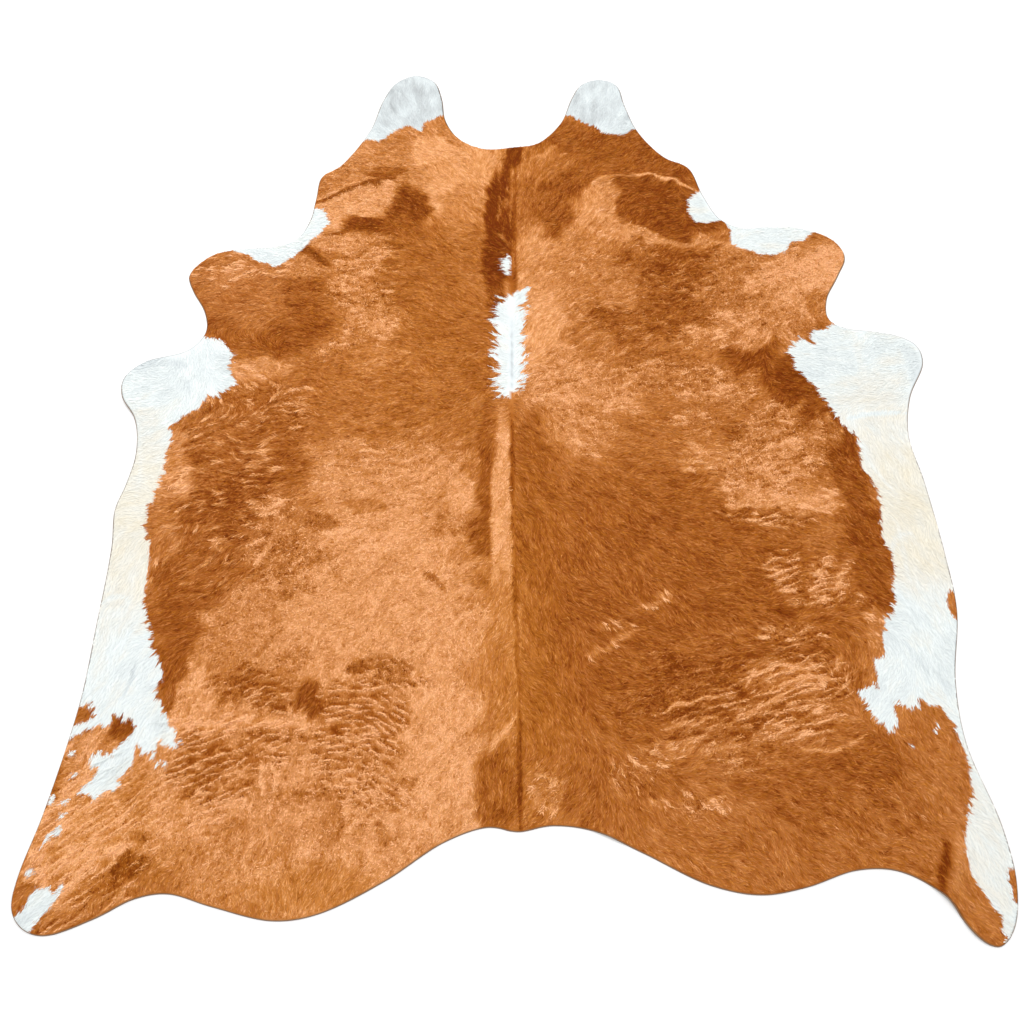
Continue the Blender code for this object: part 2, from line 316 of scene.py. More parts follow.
def planar_map(mesh, places):
    """Maps the upper side from above, and the lower side small in a free corner."""
    layer = mesh.uv_layers.new(name="OFBake")
    corners = np.empty(len(mesh.loops), dtype=np.int32)
    mesh.loops.foreach_get("vertex_index", corners)
    shares = (places[corners, :2] - MAP_CORNER) / MAP_SIZE
    normals = np.empty(len(mesh.polygons) * 3, dtype=np.float32)
    mesh.polygons.foreach_get("normal", normals)
    hidden = np.repeat(normals.reshape(-1, 3)[:, 2] < -0.5, 3)
    shares[hidden] = shares[hidden] * HIDDEN_SHARE + HIDDEN_CORNER
    layer.data.foreach_set("uv", shares.astype(np.float32).ravel())


def new_piece(name, mesh, material):
    """A finished piece of the hide, which rides on its one body."""
    mesh.materials.append(material)
    piece = bpy.data.objects.new(name, mesh)
    scene.collection.objects.link(piece)
    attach(piece, "root")
    return piece


def lumps(nodes, links, scale, detail):
    """Even random lumps all over a piece, as a value."""
    where = nodes.new("ShaderNodeTexCoord")
    node = nodes.new("ShaderNodeTexNoise")
    node.inputs["Scale"].default_value = scale
    node.inputs["Detail"].default_value = detail
    links.new(where.outputs["Object"], node.inputs["Vector"])
    return node.outputs["Fac"]


def give_nap(nodes, links, shader, scale, detail, strength, depth):
    """Roughens a surface with a nap of fine lumps."""
    bump = nodes.new("ShaderNodeBump")
    bump.inputs["Strength"].default_value = strength
    bump.inputs["Distance"].default_value = depth
    links.new(lumps(nodes, links, scale, detail), bump.inputs["Height"])
    links.new(bump.outputs["Normal"], shader.inputs["Normal"])


def kept_value(nodes, name):
    """A value that the piece's mesh keeps under a name."""
    node = nodes.new("ShaderNodeAttribute")
    node.attribute_name = name
    return node.outputs["Fac"]


def ramp(nodes, links, value, colours):
    """A colour ramp over a value."""
    node = nodes.new("ShaderNodeValToRGB")
    stops = node.color_ramp.elements
    while len(stops) < len(colours):
        stops.new(0.5)
    for stop, (place, red, green, blue) in zip(stops, colours):
        stop.position = place
        stop.color = linear(red, green, blue)
    links.new(value, node.inputs["Fac"])
    return node.outputs["Color"]


def blended(nodes, links, kind, share, first, second):
    """Two colours mixed by a share."""
    node = nodes.new("ShaderNodeMix")
    node.data_type = "RGBA"
    node.blend_type = kind
    for socket, value in (("Factor_Float", share), ("A_Color", first), ("B_Color", second)):
        target = next(item for item in node.inputs if item.identifier == socket)
        if isinstance(value, bpy.types.NodeSocket):
            links.new(value, target)
        else:
            target.default_value = value
    return next(item for item in node.outputs if item.identifier == "Result_Color")


leather_mesh, _ = closed_sheet("leather", LEATHER_RINGS, LEATHER_STEP, LEATHER_STEP)
leather_material, nodes, links, shader = new_material("suede_side", 0.85, 0.25)
suede = ramp(nodes, links, lumps(nodes, links, *SUEDE_CLOUDS), SUEDE)
colour = blended(nodes, links, "MIX", kept_value(nodes, "cut"), suede, CUT_COLOUR)
links.new(colour, shader.inputs["Base Color"])
give_nap(nodes, links, shader, *SUEDE_NAP)
leather = new_piece("leather", leather_mesh, leather_material)

# --- Markings --------------------------------------------------------------------------------
# The coat's colours and the way its hair lies, worked out over a fine canvas of the whole hide:
# ginger brown with lighter, ruffled fields, white at the rim and along the spine. The lighter fields
# and the darker folds carry painted light and shade of the nap as well as its colour.
CANVAS_STEP = 0.0015
HAIR_HEIGHT = 0.008
chance = np.random.default_rng(seed=41)


def seen(places, camera_place):
    """Where the camera sees each place on the hair against the floor."""
    return places + (places - camera_place) * HAIR_HEIGHT / CAMERA_HEIGHT


# The markings' places below are as seen against the floor, as the outline's are.
canvas_x = CANVAS_STEP * np.arange(-720, 720)
canvas_y = CANVAS_STEP * np.arange(-170, 1510)
hide_x, hide_y = np.meshgrid(canvas_x, canvas_y)
seen_x, seen_y = seen(canvas_x, CAMERA_ASIDE), seen(canvas_y, CAMERA_BACK)
over_x, over_y = np.meshgrid(seen_x, seen_y)

# The lie of the hair: place, x, y, heading in degrees from the right, to the left round.
RIGHT_LIE = (
    ("neck dip", 0.02, 1.86, 85),
    ("neck crown", 0.2, 1.88, 30),
    ("cheek", 0.26, 2.07, 80),
    ("neck", 0.3, 1.77, 10),
    ("neck light band", 0.23, 1.66, 62),
    ("dish", 0.42, 1.65, 12),
    ("neck side patch", 0.5, 1.66, 172),
    ("spine at the shoulder", 0.02, 1.55, 75),
    ("by the spine", 0.08, 1.5, 32),
    ("shoulder", 0.3, 1.4, 15),
    ("foreleg", 0.7, 1.42, 25),
    ("foreleg patch", 0.7, 1.55, 5),
    ("foreleg tip", 0.86, 1.48, 0),
    ("blaze", 0.03, 1.25, 48),
    ("back", 0.12, 1.15, 22),
    ("low shoulder", 0.45, 1.15, 15),
    ("breast", 0.78, 1.13, 165),
    ("breast lobe", 0.98, 1.15, 190),
    ("middle of the spine", 0.05, 0.92, -52),
    ("high flank", 0.35, 0.92, 0),
    ("outer flank", 0.65, 0.86, 14),
    ("high belly", 0.8, 0.78, -28),
    ("high belly strip", 0.9, 0.88, -75),
    ("low spine", 0.05, 0.6, -66),
    ("loin", 0.25, 0.55, -45),
    ("low flank", 0.5, 0.5, -20),
    ("outer low flank", 0.7, 0.54, 12),
    ("belly", 0.85, 0.55, -38),
    ("belly strip", 0.94, 0.55, -80),
    ("rump by the spine", 0.05, 0.25, -62),
    ("rump wisps", 0.36, 0.22, 22),
    ("middle rump", 0.52, 0.31, 16),
    ("outer rump", 0.68, 0.2, 8),
    ("thigh", 0.86, 0.18, -48),
    ("thigh patch", 0.8, 0.28, 230),
    ("tail patch", 0.07, 0.07, 235),
    ("low rump", 0.32, 0.02, -46),
    ("rump rim", 0.5, -0.08, -42),
    ("low thigh", 0.75, 0.0, -32),
    ("hind leg", 0.93, -0.1, -56),
    ("hock", 0.97, -0.18, -52),
)
LEFT_LIE = (
    ("neck dip", -0.04, 1.86, 96),
    ("neck crown", -0.2, 1.86, 150),
    ("cheek", -0.3, 2.07, 100),
    ("neck", -0.35, 1.75, 172),
    ("neck side", -0.53, 1.66, 190),
    ("dark band", -0.05, 1.62, 112),
    ("by the spine", -0.12, 1.55, 158),
    ("shoulder", -0.25, 1.45, 168),
    ("outer shoulder", -0.45, 1.45, 172),
    ("foreleg", -0.75, 1.4, 184),
    ("foreleg tip", -0.85, 1.42, 196),
    ("blaze", -0.05, 1.2, 158),
    ("back", -0.15, 1.2, 172),
    ("high flank", -0.45, 1.12, 176),
    ("breast", -0.73, 1.12, 0),
    ("breast, middle", -0.82, 1.11, 275),
    ("breast lobe", -0.93, 1.08, 190),
    ("middle of the spine", -0.03, 0.85, 240),
    ("dark strip", -0.08, 0.85, 225),
    ("flank", -0.4, 0.85, 190),
    ("outer flank", -0.7, 0.85, 181),
    ("high belly", -0.85, 0.78, 196),
    ("belly strip", -0.92, 0.6, 252),
    ("low spine", -0.04, 0.5, 248),
    ("loin", -0.25, 0.5, 214),
    ("low flank", -0.5, 0.5, 205),
    ("outer low flank", -0.75, 0.45, 205),
    ("low belly", -0.88, 0.35, 250),
    ("rump by the spine", -0.04, 0.3, 250),
    ("tail", -0.04, 0.08, 250),
    ("rump", -0.25, 0.25, 252),
    ("ripples", -0.35, 0.18, 264),
    ("outer ripples", -0.62, 0.14, 256),
    ("dark patch", -0.6, 0.32, 240),
    ("fan", -0.55, 0.07, 266),
    ("thigh patch", -0.83, 0.17, 236),
    ("thigh", -0.87, 0.06, 222),
    ("hind leg", -0.93, -0.04, 218),
    ("hock", -0.97, -0.14, 222),
    ("low rump", -0.3, 0.0, 242),
    ("rump rim", -0.48, -0.12, 252),
    ("outer rump", -0.68, -0.08, 244),
    ("dark wave", -0.8, -0.08, 254),
)
LIE_SHARPNESS = 3.2  # how fast an arrow's say falls with distance
LIE_CORE = 0.0004  # the square of the distance within which it hardly does
# The parting that runs down the spine: distance up, distance to the right.
PARTING = ((-0.2, 0.008), (0.1, 0.004), (0.3, 0.001), (0.5, -0.004), (0.7, -0.008),
           (0.9, -0.012), (1.35, -0.014), (1.5, -0.01), (1.65, -0.004), (1.9, -0.003))
parting = np.interp(hide_y, *zip(*PARTING))


up_waves = np.fft.fftfreq(over_x.shape[0], CANVAS_STEP)[:, None]
side_waves = np.fft.fftfreq(over_x.shape[1], CANVAS_STEP)[None, :]


def sifted(canvas, keep):
    """The waves that a canvas is made of, each kept in its share."""
    return np.fft.ifft2(np.fft.fft2(canvas) * keep)


def evened(canvas):
    """The canvas brought to a mean of nothing and a spread of one."""
    return (canvas - canvas.mean()) / canvas.std()


def softened(canvas, reach):
    """The canvas blurred over a reach."""
    return sifted(canvas, np.exp(-2.0 * (np.pi * reach) ** 2 * (up_waves**2 + side_waves**2))).real


def grain(reach):
    """Even random lumps about as wide as twice the reach."""
    return evened(softened(chance.standard_normal(over_x.shape), reach))


def cells(gap, evenness):
    """Random lumps and pits, about one gap apart in every direction."""
    keep = np.exp(-((evenness * (np.hypot(up_waves, side_waves) * gap - 1.0)) ** 2))
    return evened(sifted(chance.standard_normal(over_x.shape), keep).real)


def ruffles(gap, crest, train, turn):
    """Random waves that run down the hide, a gap apart, as numbers that turn once from crest to crest."""
    turn = math.radians(turn)
    along = side_waves * math.cos(turn) + up_waves * math.sin(turn)
    across = up_waves * math.cos(turn) - side_waves * math.sin(turn) + 1.0 / gap
    keep = np.exp(-2.0 * (along * crest) ** 2 - 2.0 * (across * train) ** 2)
    waves = sifted(chance.standard_normal(over_x.shape), keep)
    return waves / np.abs(waves).mean()


def read(canvas, x, y):
    """The canvas at each place, from the four cells around it."""
    column = np.clip((x - canvas_x[0]) / CANVAS_STEP, 0.0, canvas.shape[1] - 1.001)
    row = np.clip((y - canvas_y[0]) / CANVAS_STEP, 0.0, canvas.shape[0] - 1.001)
    i, j = row.astype(int), column.astype(int)
    row, column = row - i, column - j
    low = canvas[i, j] * (1.0 - column) + canvas[i, j + 1] * column
    high = canvas[i + 1, j] * (1.0 - column) + canvas[i + 1, j + 1] * column
    return low * (1.0 - row) + high * row


def filled(outline):
    """1 inside the closed outline and 0 outside it, over the canvas."""
    flips = np.zeros(over_x.shape, dtype=int)
    outline = np.array(outline, dtype=float)
    for (start_x, start_y), (end_x, end_y) in zip(outline, np.roll(outline, -1, axis=0)):
        crossed = (seen_y >= min(start_y, end_y)) & (seen_y < max(start_y, end_y))
        rows = np.nonzero(crossed)[0]
        if len(rows):
            slope = (end_x - start_x) / (end_y - start_y)
            columns = np.searchsorted(seen_x, start_x + (seen_y[rows] - start_y) * slope)
            np.add.at(flips, (rows, np.minimum(columns, len(seen_x) - 1)), 1)
    return (np.cumsum(flips, axis=1) % 2).astype(float)


# Waves of ruffled hair: place, distance right of the spine, gap, crest length, train, turn in degrees.
RUFFLES = (
    ("left hind leg", -0.88, 0.019, 0.034, 0.014, 36),
    ("left thigh", -0.66, 0.0165, 0.026, 0.013, 22),
    ("left rump", -0.4, 0.0165, 0.027, 0.013, 4),
    ("left rump, inner", -0.22, 0.016, 0.025, 0.013, -32),
    ("right rump", 0.5, 0.018, 0.034, 0.014, 19),
)
RUFFLE_REACH = 0.12
CREST_WIDTH = 0.12  # as a share of the gap, as the next two are
HOLLOW_PLACE = 0.38
HOLLOW_WIDTH = 0.24
waves, wave_share = np.zeros_like(over_x), 0.001
for _, x, *sizes in RUFFLES:
    near = np.exp(-(((over_x - x) / RUFFLE_REACH) ** 2))
    waves = waves + near * ruffles(*sizes)
    wave_share = wave_share + near**2
waves /= np.sqrt(wave_share)
swing = np.clip(np.abs(waves), 0.0, 1.3)
below = (-np.angle(waves) / (2.0 * math.pi)) % 1.0  # 0 on a crest, and 1 on the next one down
crest = swing * np.exp(-((np.minimum(below, 1.0 - below) / CREST_WIDTH) ** 2))
crest *= np.clip(0.95 + 0.35 * grain(0.012), 0.3, 1.5)
hollow = swing * np.exp(-(((below - HOLLOW_PLACE) / HOLLOW_WIDTH) ** 2))

lie_x, lie_y = np.zeros_like(over_x), np.zeros_like(over_x)
for side, arrows in ((hide_x >= parting, RIGHT_LIE), (hide_x < parting, LEFT_LIE)):
    for _, x, y, heading in arrows:
        say = side / ((over_x - x) ** 2 + (over_y - y) ** 2 + LIE_CORE) ** (LIE_SHARPNESS / 2.0)
        lie_x += say * math.cos(math.radians(heading))
        lie_y += say * math.sin(math.radians(heading))
# The lie sways by some ten degrees, in broad and in narrow tufts.
heading = np.arctan2(lie_y, lie_x) + 0.17 * grain(0.022) + 0.18 * grain(0.009)
lie_x, lie_y = np.cos(heading), np.sin(heading)


COMB_STRIDE = 1.4  # in steps of the canvas


def combed(canvases, reach):
    """Canvases smeared along the lie of the hair, as a comb would, and evened."""
    totals = [canvas.copy() for canvas in canvases]
    for way in (COMB_STRIDE, -COMB_STRIDE):
        row = np.arange(over_x.shape[0], dtype=float)[:, None] + np.zeros_like(over_x)
        column = np.arange(over_x.shape[1], dtype=float)[None, :] + np.zeros_like(over_x)
        for _ in range(round(reach / (COMB_STRIDE * CANVAS_STEP))):
            i = np.clip(np.rint(row), 0, over_x.shape[0] - 1).astype(int)
            j = np.clip(np.rint(column), 0, over_x.shape[1] - 1).astype(int)
            for total, canvas in zip(totals, canvases):
                total += canvas[i, j]
            row += way * lie_y[i, j]
            column += way * lie_x[i, j]
    return [evened(total) for total in totals]


(strands,) = combed([grain(0.001)], 0.01)
(curls,) = combed([cells(0.0078, 1.6)], 0.003)
(wisps,) = combed([grain(0.0021)], 0.014)
(locks, broad_locks, teeth) = combed([grain(0.0028), grain(0.007), grain(0.0024)], 0.026)
# 1 where a tuft at a border reaches out furthest, and 0 where none does.
teeth = np.clip(0.5 + 0.42 * teeth, 0.0, 1.0) ** 1.3

# White hair: place, how far its tufts reach out of the patch, outline.
WHITE = (
    ("left cheek", 0.006, (
        (-0.47, 1.885), (-0.431, 1.917), (-0.398, 1.905), (-0.372, 1.923), (-0.336, 1.961),
        (-0.309, 1.965), (-0.284, 1.949), (-0.275, 1.945), (-0.27, 1.973), (-0.247, 1.994),
        (-0.212, 2.012), (-0.16, 2.03), (-0.16, 2.2), (-0.47, 2.2))),
    ("right cheek", 0.006, (
        (0.12, 2.025), (0.145, 2.014), (0.196, 1.982), (0.242, 1.953), (0.254, 1.937),
        (0.289, 1.933), (0.319, 1.939), (0.326, 1.949), (0.347, 1.955), (0.4, 1.965),
        (0.4, 2.2), (0.12, 2.2))),
    ("left neck side", 0.007, (
        (-0.6, 1.665), (-0.556, 1.655), (-0.533, 1.656), (-0.523, 1.621), (-0.513, 1.607),
        (-0.539, 1.568), (-0.562, 1.541), (-0.581, 1.512), (-0.603, 1.485), (-0.627, 1.469),
        (-0.652, 1.451), (-0.673, 1.466), (-0.695, 1.469), (-0.729, 1.494), (-0.765, 1.506),
        (-0.8, 1.53), (-0.66, 1.58))),
    ("left breast and belly", 0.012, (
        (-0.86, 1.25), (-0.81, 1.231), (-0.769, 1.22), (-0.749, 1.193), (-0.73, 1.171),
        (-0.745, 1.135), (-0.728, 1.106), (-0.716, 1.092), (-0.723, 1.08), (-0.756, 1.051),
        (-0.779, 1.048), (-0.797, 1.01), (-0.827, 0.992), (-0.861, 0.966), (-0.847, 0.916),
        (-0.855, 0.885), (-0.849, 0.825), (-0.866, 0.781), (-0.876, 0.722), (-0.879, 0.688),
        (-0.861, 0.646), (-0.856, 0.596), (-0.851, 0.516), (-0.822, 0.422), (-0.8, 0.369),
        (-0.776, 0.327), (-0.785, 0.312), (-0.788, 0.288), (-0.765, 0.25), (-0.752, 0.222),
        (-0.742, 0.222), (-0.731, 0.202), (-0.735, 0.189), (-0.721, 0.18), (-0.732, 0.166),
        (-0.748, 0.172), (-0.767, 0.187), (-0.772, 0.161), (-0.788, 0.157), (-0.799, 0.161),
        (-0.8, 0.18), (-0.815, 0.178), (-0.811, 0.14), (-0.833, 0.106), (-0.833, 0.084),
        (-0.859, 0.08), (-0.884, 0.062), (-0.9, 0.078), (-0.918, 0.078), (-0.892, 0.105),
        (-0.886, 0.127), (-0.908, 0.132), (-0.912, 0.15), (-0.898, 0.163), (-0.867, 0.156),
        (-0.845, 0.182), (-0.827, 0.198), (-0.823, 0.214), (-0.836, 0.229), (-0.858, 0.238),
        (-0.886, 0.219), (-0.933, 0.208), (-1.02, 0.18), (-1.08, 0.3), (-1.08, 1.2))),
    ("left thigh wedge", 0.004, (
        (-0.98, 0.22), (-0.954, 0.21), (-0.931, 0.203), (-0.957, 0.187), (-0.98, 0.185))),
    ("left hock", 0.008, (
        (-1.003, -0.169), (-0.984, -0.149), (-0.978, -0.124), (-0.965, -0.114), (-0.943, -0.107),
        (-0.938, -0.121), (-0.931, -0.123), (-0.922, -0.106), (-0.908, -0.11), (-0.925, -0.136),
        (-0.942, -0.161), (-0.963, -0.188), (-0.972, -0.215), (-1.05, -0.2))),
    ("left shank fork", 0.003, (
        (-0.952, 0.001), (-0.945, 0.01), (-0.937, 0.001), (-0.949, -0.012), (-0.958, -0.013),
        (-0.967, -0.024), (-0.978, -0.041), (-0.968, -0.012), (-0.962, -0.004))),
    ("right neck side", 0.008, (
        (0.517, 1.716), (0.5, 1.704), (0.486, 1.69), (0.48, 1.642), (0.498, 1.607),
        (0.53, 1.604), (0.567, 1.614), (0.62, 1.66), (0.56, 1.74))),
    ("right foreleg", 0.007, (
        (0.58, 1.62), (0.586, 1.56), (0.589, 1.53), (0.604, 1.516), (0.629, 1.512),
        (0.652, 1.496), (0.702, 1.494), (0.728, 1.505), (0.743, 1.526), (0.751, 1.54),
        (0.787, 1.543), (0.805, 1.564), (0.83, 1.585), (0.7, 1.64))),
    ("right breast and belly", 0.014, (
        (0.87, 1.28), (0.832, 1.26), (0.791, 1.243), (0.774, 1.238), (0.768, 1.215),
        (0.777, 1.195), (0.758, 1.208), (0.743, 1.218), (0.722, 1.208), (0.708, 1.178),
        (0.716, 1.16), (0.712, 1.14), (0.728, 1.122), (0.754, 1.087), (0.785, 1.034),
        (0.798, 0.993), (0.82, 0.948), (0.838, 0.94), (0.838, 0.913), (0.837, 0.845),
        (0.86, 0.801), (0.866, 0.753), (0.86, 0.722), (0.856, 0.671), (0.86, 0.629),
        (0.873, 0.606), (0.863, 0.556), (0.853, 0.5), (0.833, 0.461), (0.818, 0.415),
        (0.82, 0.377), (0.8, 0.369), (0.792, 0.339), (0.803, 0.305), (0.775, 0.312),
        (0.748, 0.3), (0.765, 0.262), (0.782, 0.225), (0.805, 0.206), (0.818, 0.226),
        (0.833, 0.274), (0.861, 0.252), (0.875, 0.274), (0.913, 0.263), (0.934, 0.228),
        (0.948, 0.189), (0.957, 0.133), (0.953, 0.093), (0.937, 0.046), (0.922, 0.007),
        (0.912, -0.037), (0.916, -0.076), (0.924, -0.101), (0.938, -0.131), (0.952, -0.155),
        (0.957, -0.197), (0.965, -0.23), (1.1, -0.23), (1.1, 1.25))),
    ("blaze", 0.028, (
        (-0.017, 1.355), (0.004, 1.375), (0.014, 1.366), (0.006, 1.325), (0.012, 1.3),
        (0.009, 1.245), (0.012, 1.19), (0.008, 1.137), (0.0, 1.077), (-0.015, 1.046),
        (-0.032, 1.041), (-0.04, 1.077), (-0.043, 1.122), (-0.046, 1.183), (-0.046, 1.23),
        (-0.048, 1.277), (-0.043, 1.316), (-0.03, 1.342))),
    ("star", 0.01, (
        (-0.033, 1.49), (-0.026, 1.474), (-0.015, 1.5), (-0.013, 1.468), (-0.015, 1.434),
        (-0.027, 1.424), (-0.034, 1.448))),
)
# Brown hair inside the white: the same columns.
BROWN = (
    ("left thigh spot", 0.006, (
        (-0.88, 0.241), (-0.869, 0.243), (-0.858, 0.232), (-0.846, 0.223), (-0.832, 0.23),
        (-0.824, 0.212), (-0.827, 0.198), (-0.841, 0.185), (-0.868, 0.19))),
    ("left thigh rim", 0.004, (
        (-0.98, 0.252), (-0.95, 0.255), (-0.926, 0.268), (-0.934, 0.254), (-0.915, 0.254),
        (-0.923, 0.243), (-0.913, 0.236), (-0.934, 0.223), (-0.98, 0.208))),
    ("right belly rim", 0.006, (
        (1.02, 0.532), (0.987, 0.524), (0.978, 0.505), (0.98, 0.48), (0.989, 0.455), (1.02, 0.455))),
    ("right shank rim", 0.003, ((1.03, -0.07), (0.992, -0.078), (0.996, -0.14), (1.03, -0.155))),
)
# White flecks: place, x, y, length, width, heading.
FLECKS = (
    ("left thigh rim", -0.952, 0.155, 0.02, 0.009, 20),
    ("left thigh", -0.937, 0.108, 0.026, 0.008, 45),
    ("left thigh, at the rim", -0.976, 0.062, 0.024, 0.014, 60),
    ("left shank, upper", -0.948, 0.055, 0.024, 0.008, 22),
    ("left shank", -0.946, 0.027, 0.02, 0.008, 42),
    ("left shank, dot", -0.989, -0.085, 0.018, 0.015, 30),
    ("left slash, outer", -0.776, 0.15, 0.02, 0.009, 65),
    ("left slash", -0.763, 0.136, 0.02, 0.008, 65),
    ("left slash, inner", -0.75, 0.132, 0.022, 0.008, 70),
    ("right thigh", 0.898, 0.2, 0.02, 0.008, 120),
    ("right thigh, upper", 0.906, 0.212, 0.01, 0.005, 60),
    ("right thigh, lower", 0.846, 0.17, 0.016, 0.007, 140),
)


def marked(outline, tuft):
    """The outline filled, with tufts of its hair lying over its lower border."""
    root_x, root_y = hide_x - tuft * teeth * lie_x, hide_y - tuft * teeth * lie_y
    root_x = np.where(hide_x < parting, np.minimum(root_x, parting), np.maximum(root_x, parting))
    return read(filled(outline), root_x, root_y)


RAGGED = 0.01  # how far the border of a middling field strays
LOCK_STRAY = 0.006  # and how far its locks reach over it
STEADY = 0.09  # nearer to the spine than this, borders stray less
stray_x, stray_y = (RAGGED * (grain(0.012) + 0.8 * grain(0.035)) for _ in range(2))
stray_x = (stray_x + LOCK_STRAY * locks * lie_x) * np.clip(np.abs(hide_x - parting) / STEADY, 0.3, 1.0)
stray_y += LOCK_STRAY * locks * lie_y


def oval(x, y, half_x, half_y, turn, ragged=0.0):
    """How far each place is from the middle of an oval, in shares of its reach."""
    turn = math.radians(turn)
    aside_x, aside_y = over_x + ragged * stray_x - x, over_y + ragged * stray_y - y
    along = aside_x * math.cos(turn) + aside_y * math.sin(turn)
    across = aside_y * math.cos(turn) - aside_x * math.sin(turn)
    return np.hypot(along / half_x, across / half_y)


white = np.zeros_like(over_x)
for _, tuft, outline in WHITE:
    white = np.maximum(white, marked(outline, tuft))
for _, tuft, outline in BROWN:
    white = np.minimum(white, 1.0 - marked(outline, tuft))
for _, x, y, length, width, turn in FLECKS:
    white = np.maximum(white, (oval(x, y, length / 2.0, width / 2.0, turn) < 0.9 + 0.2 * locks))
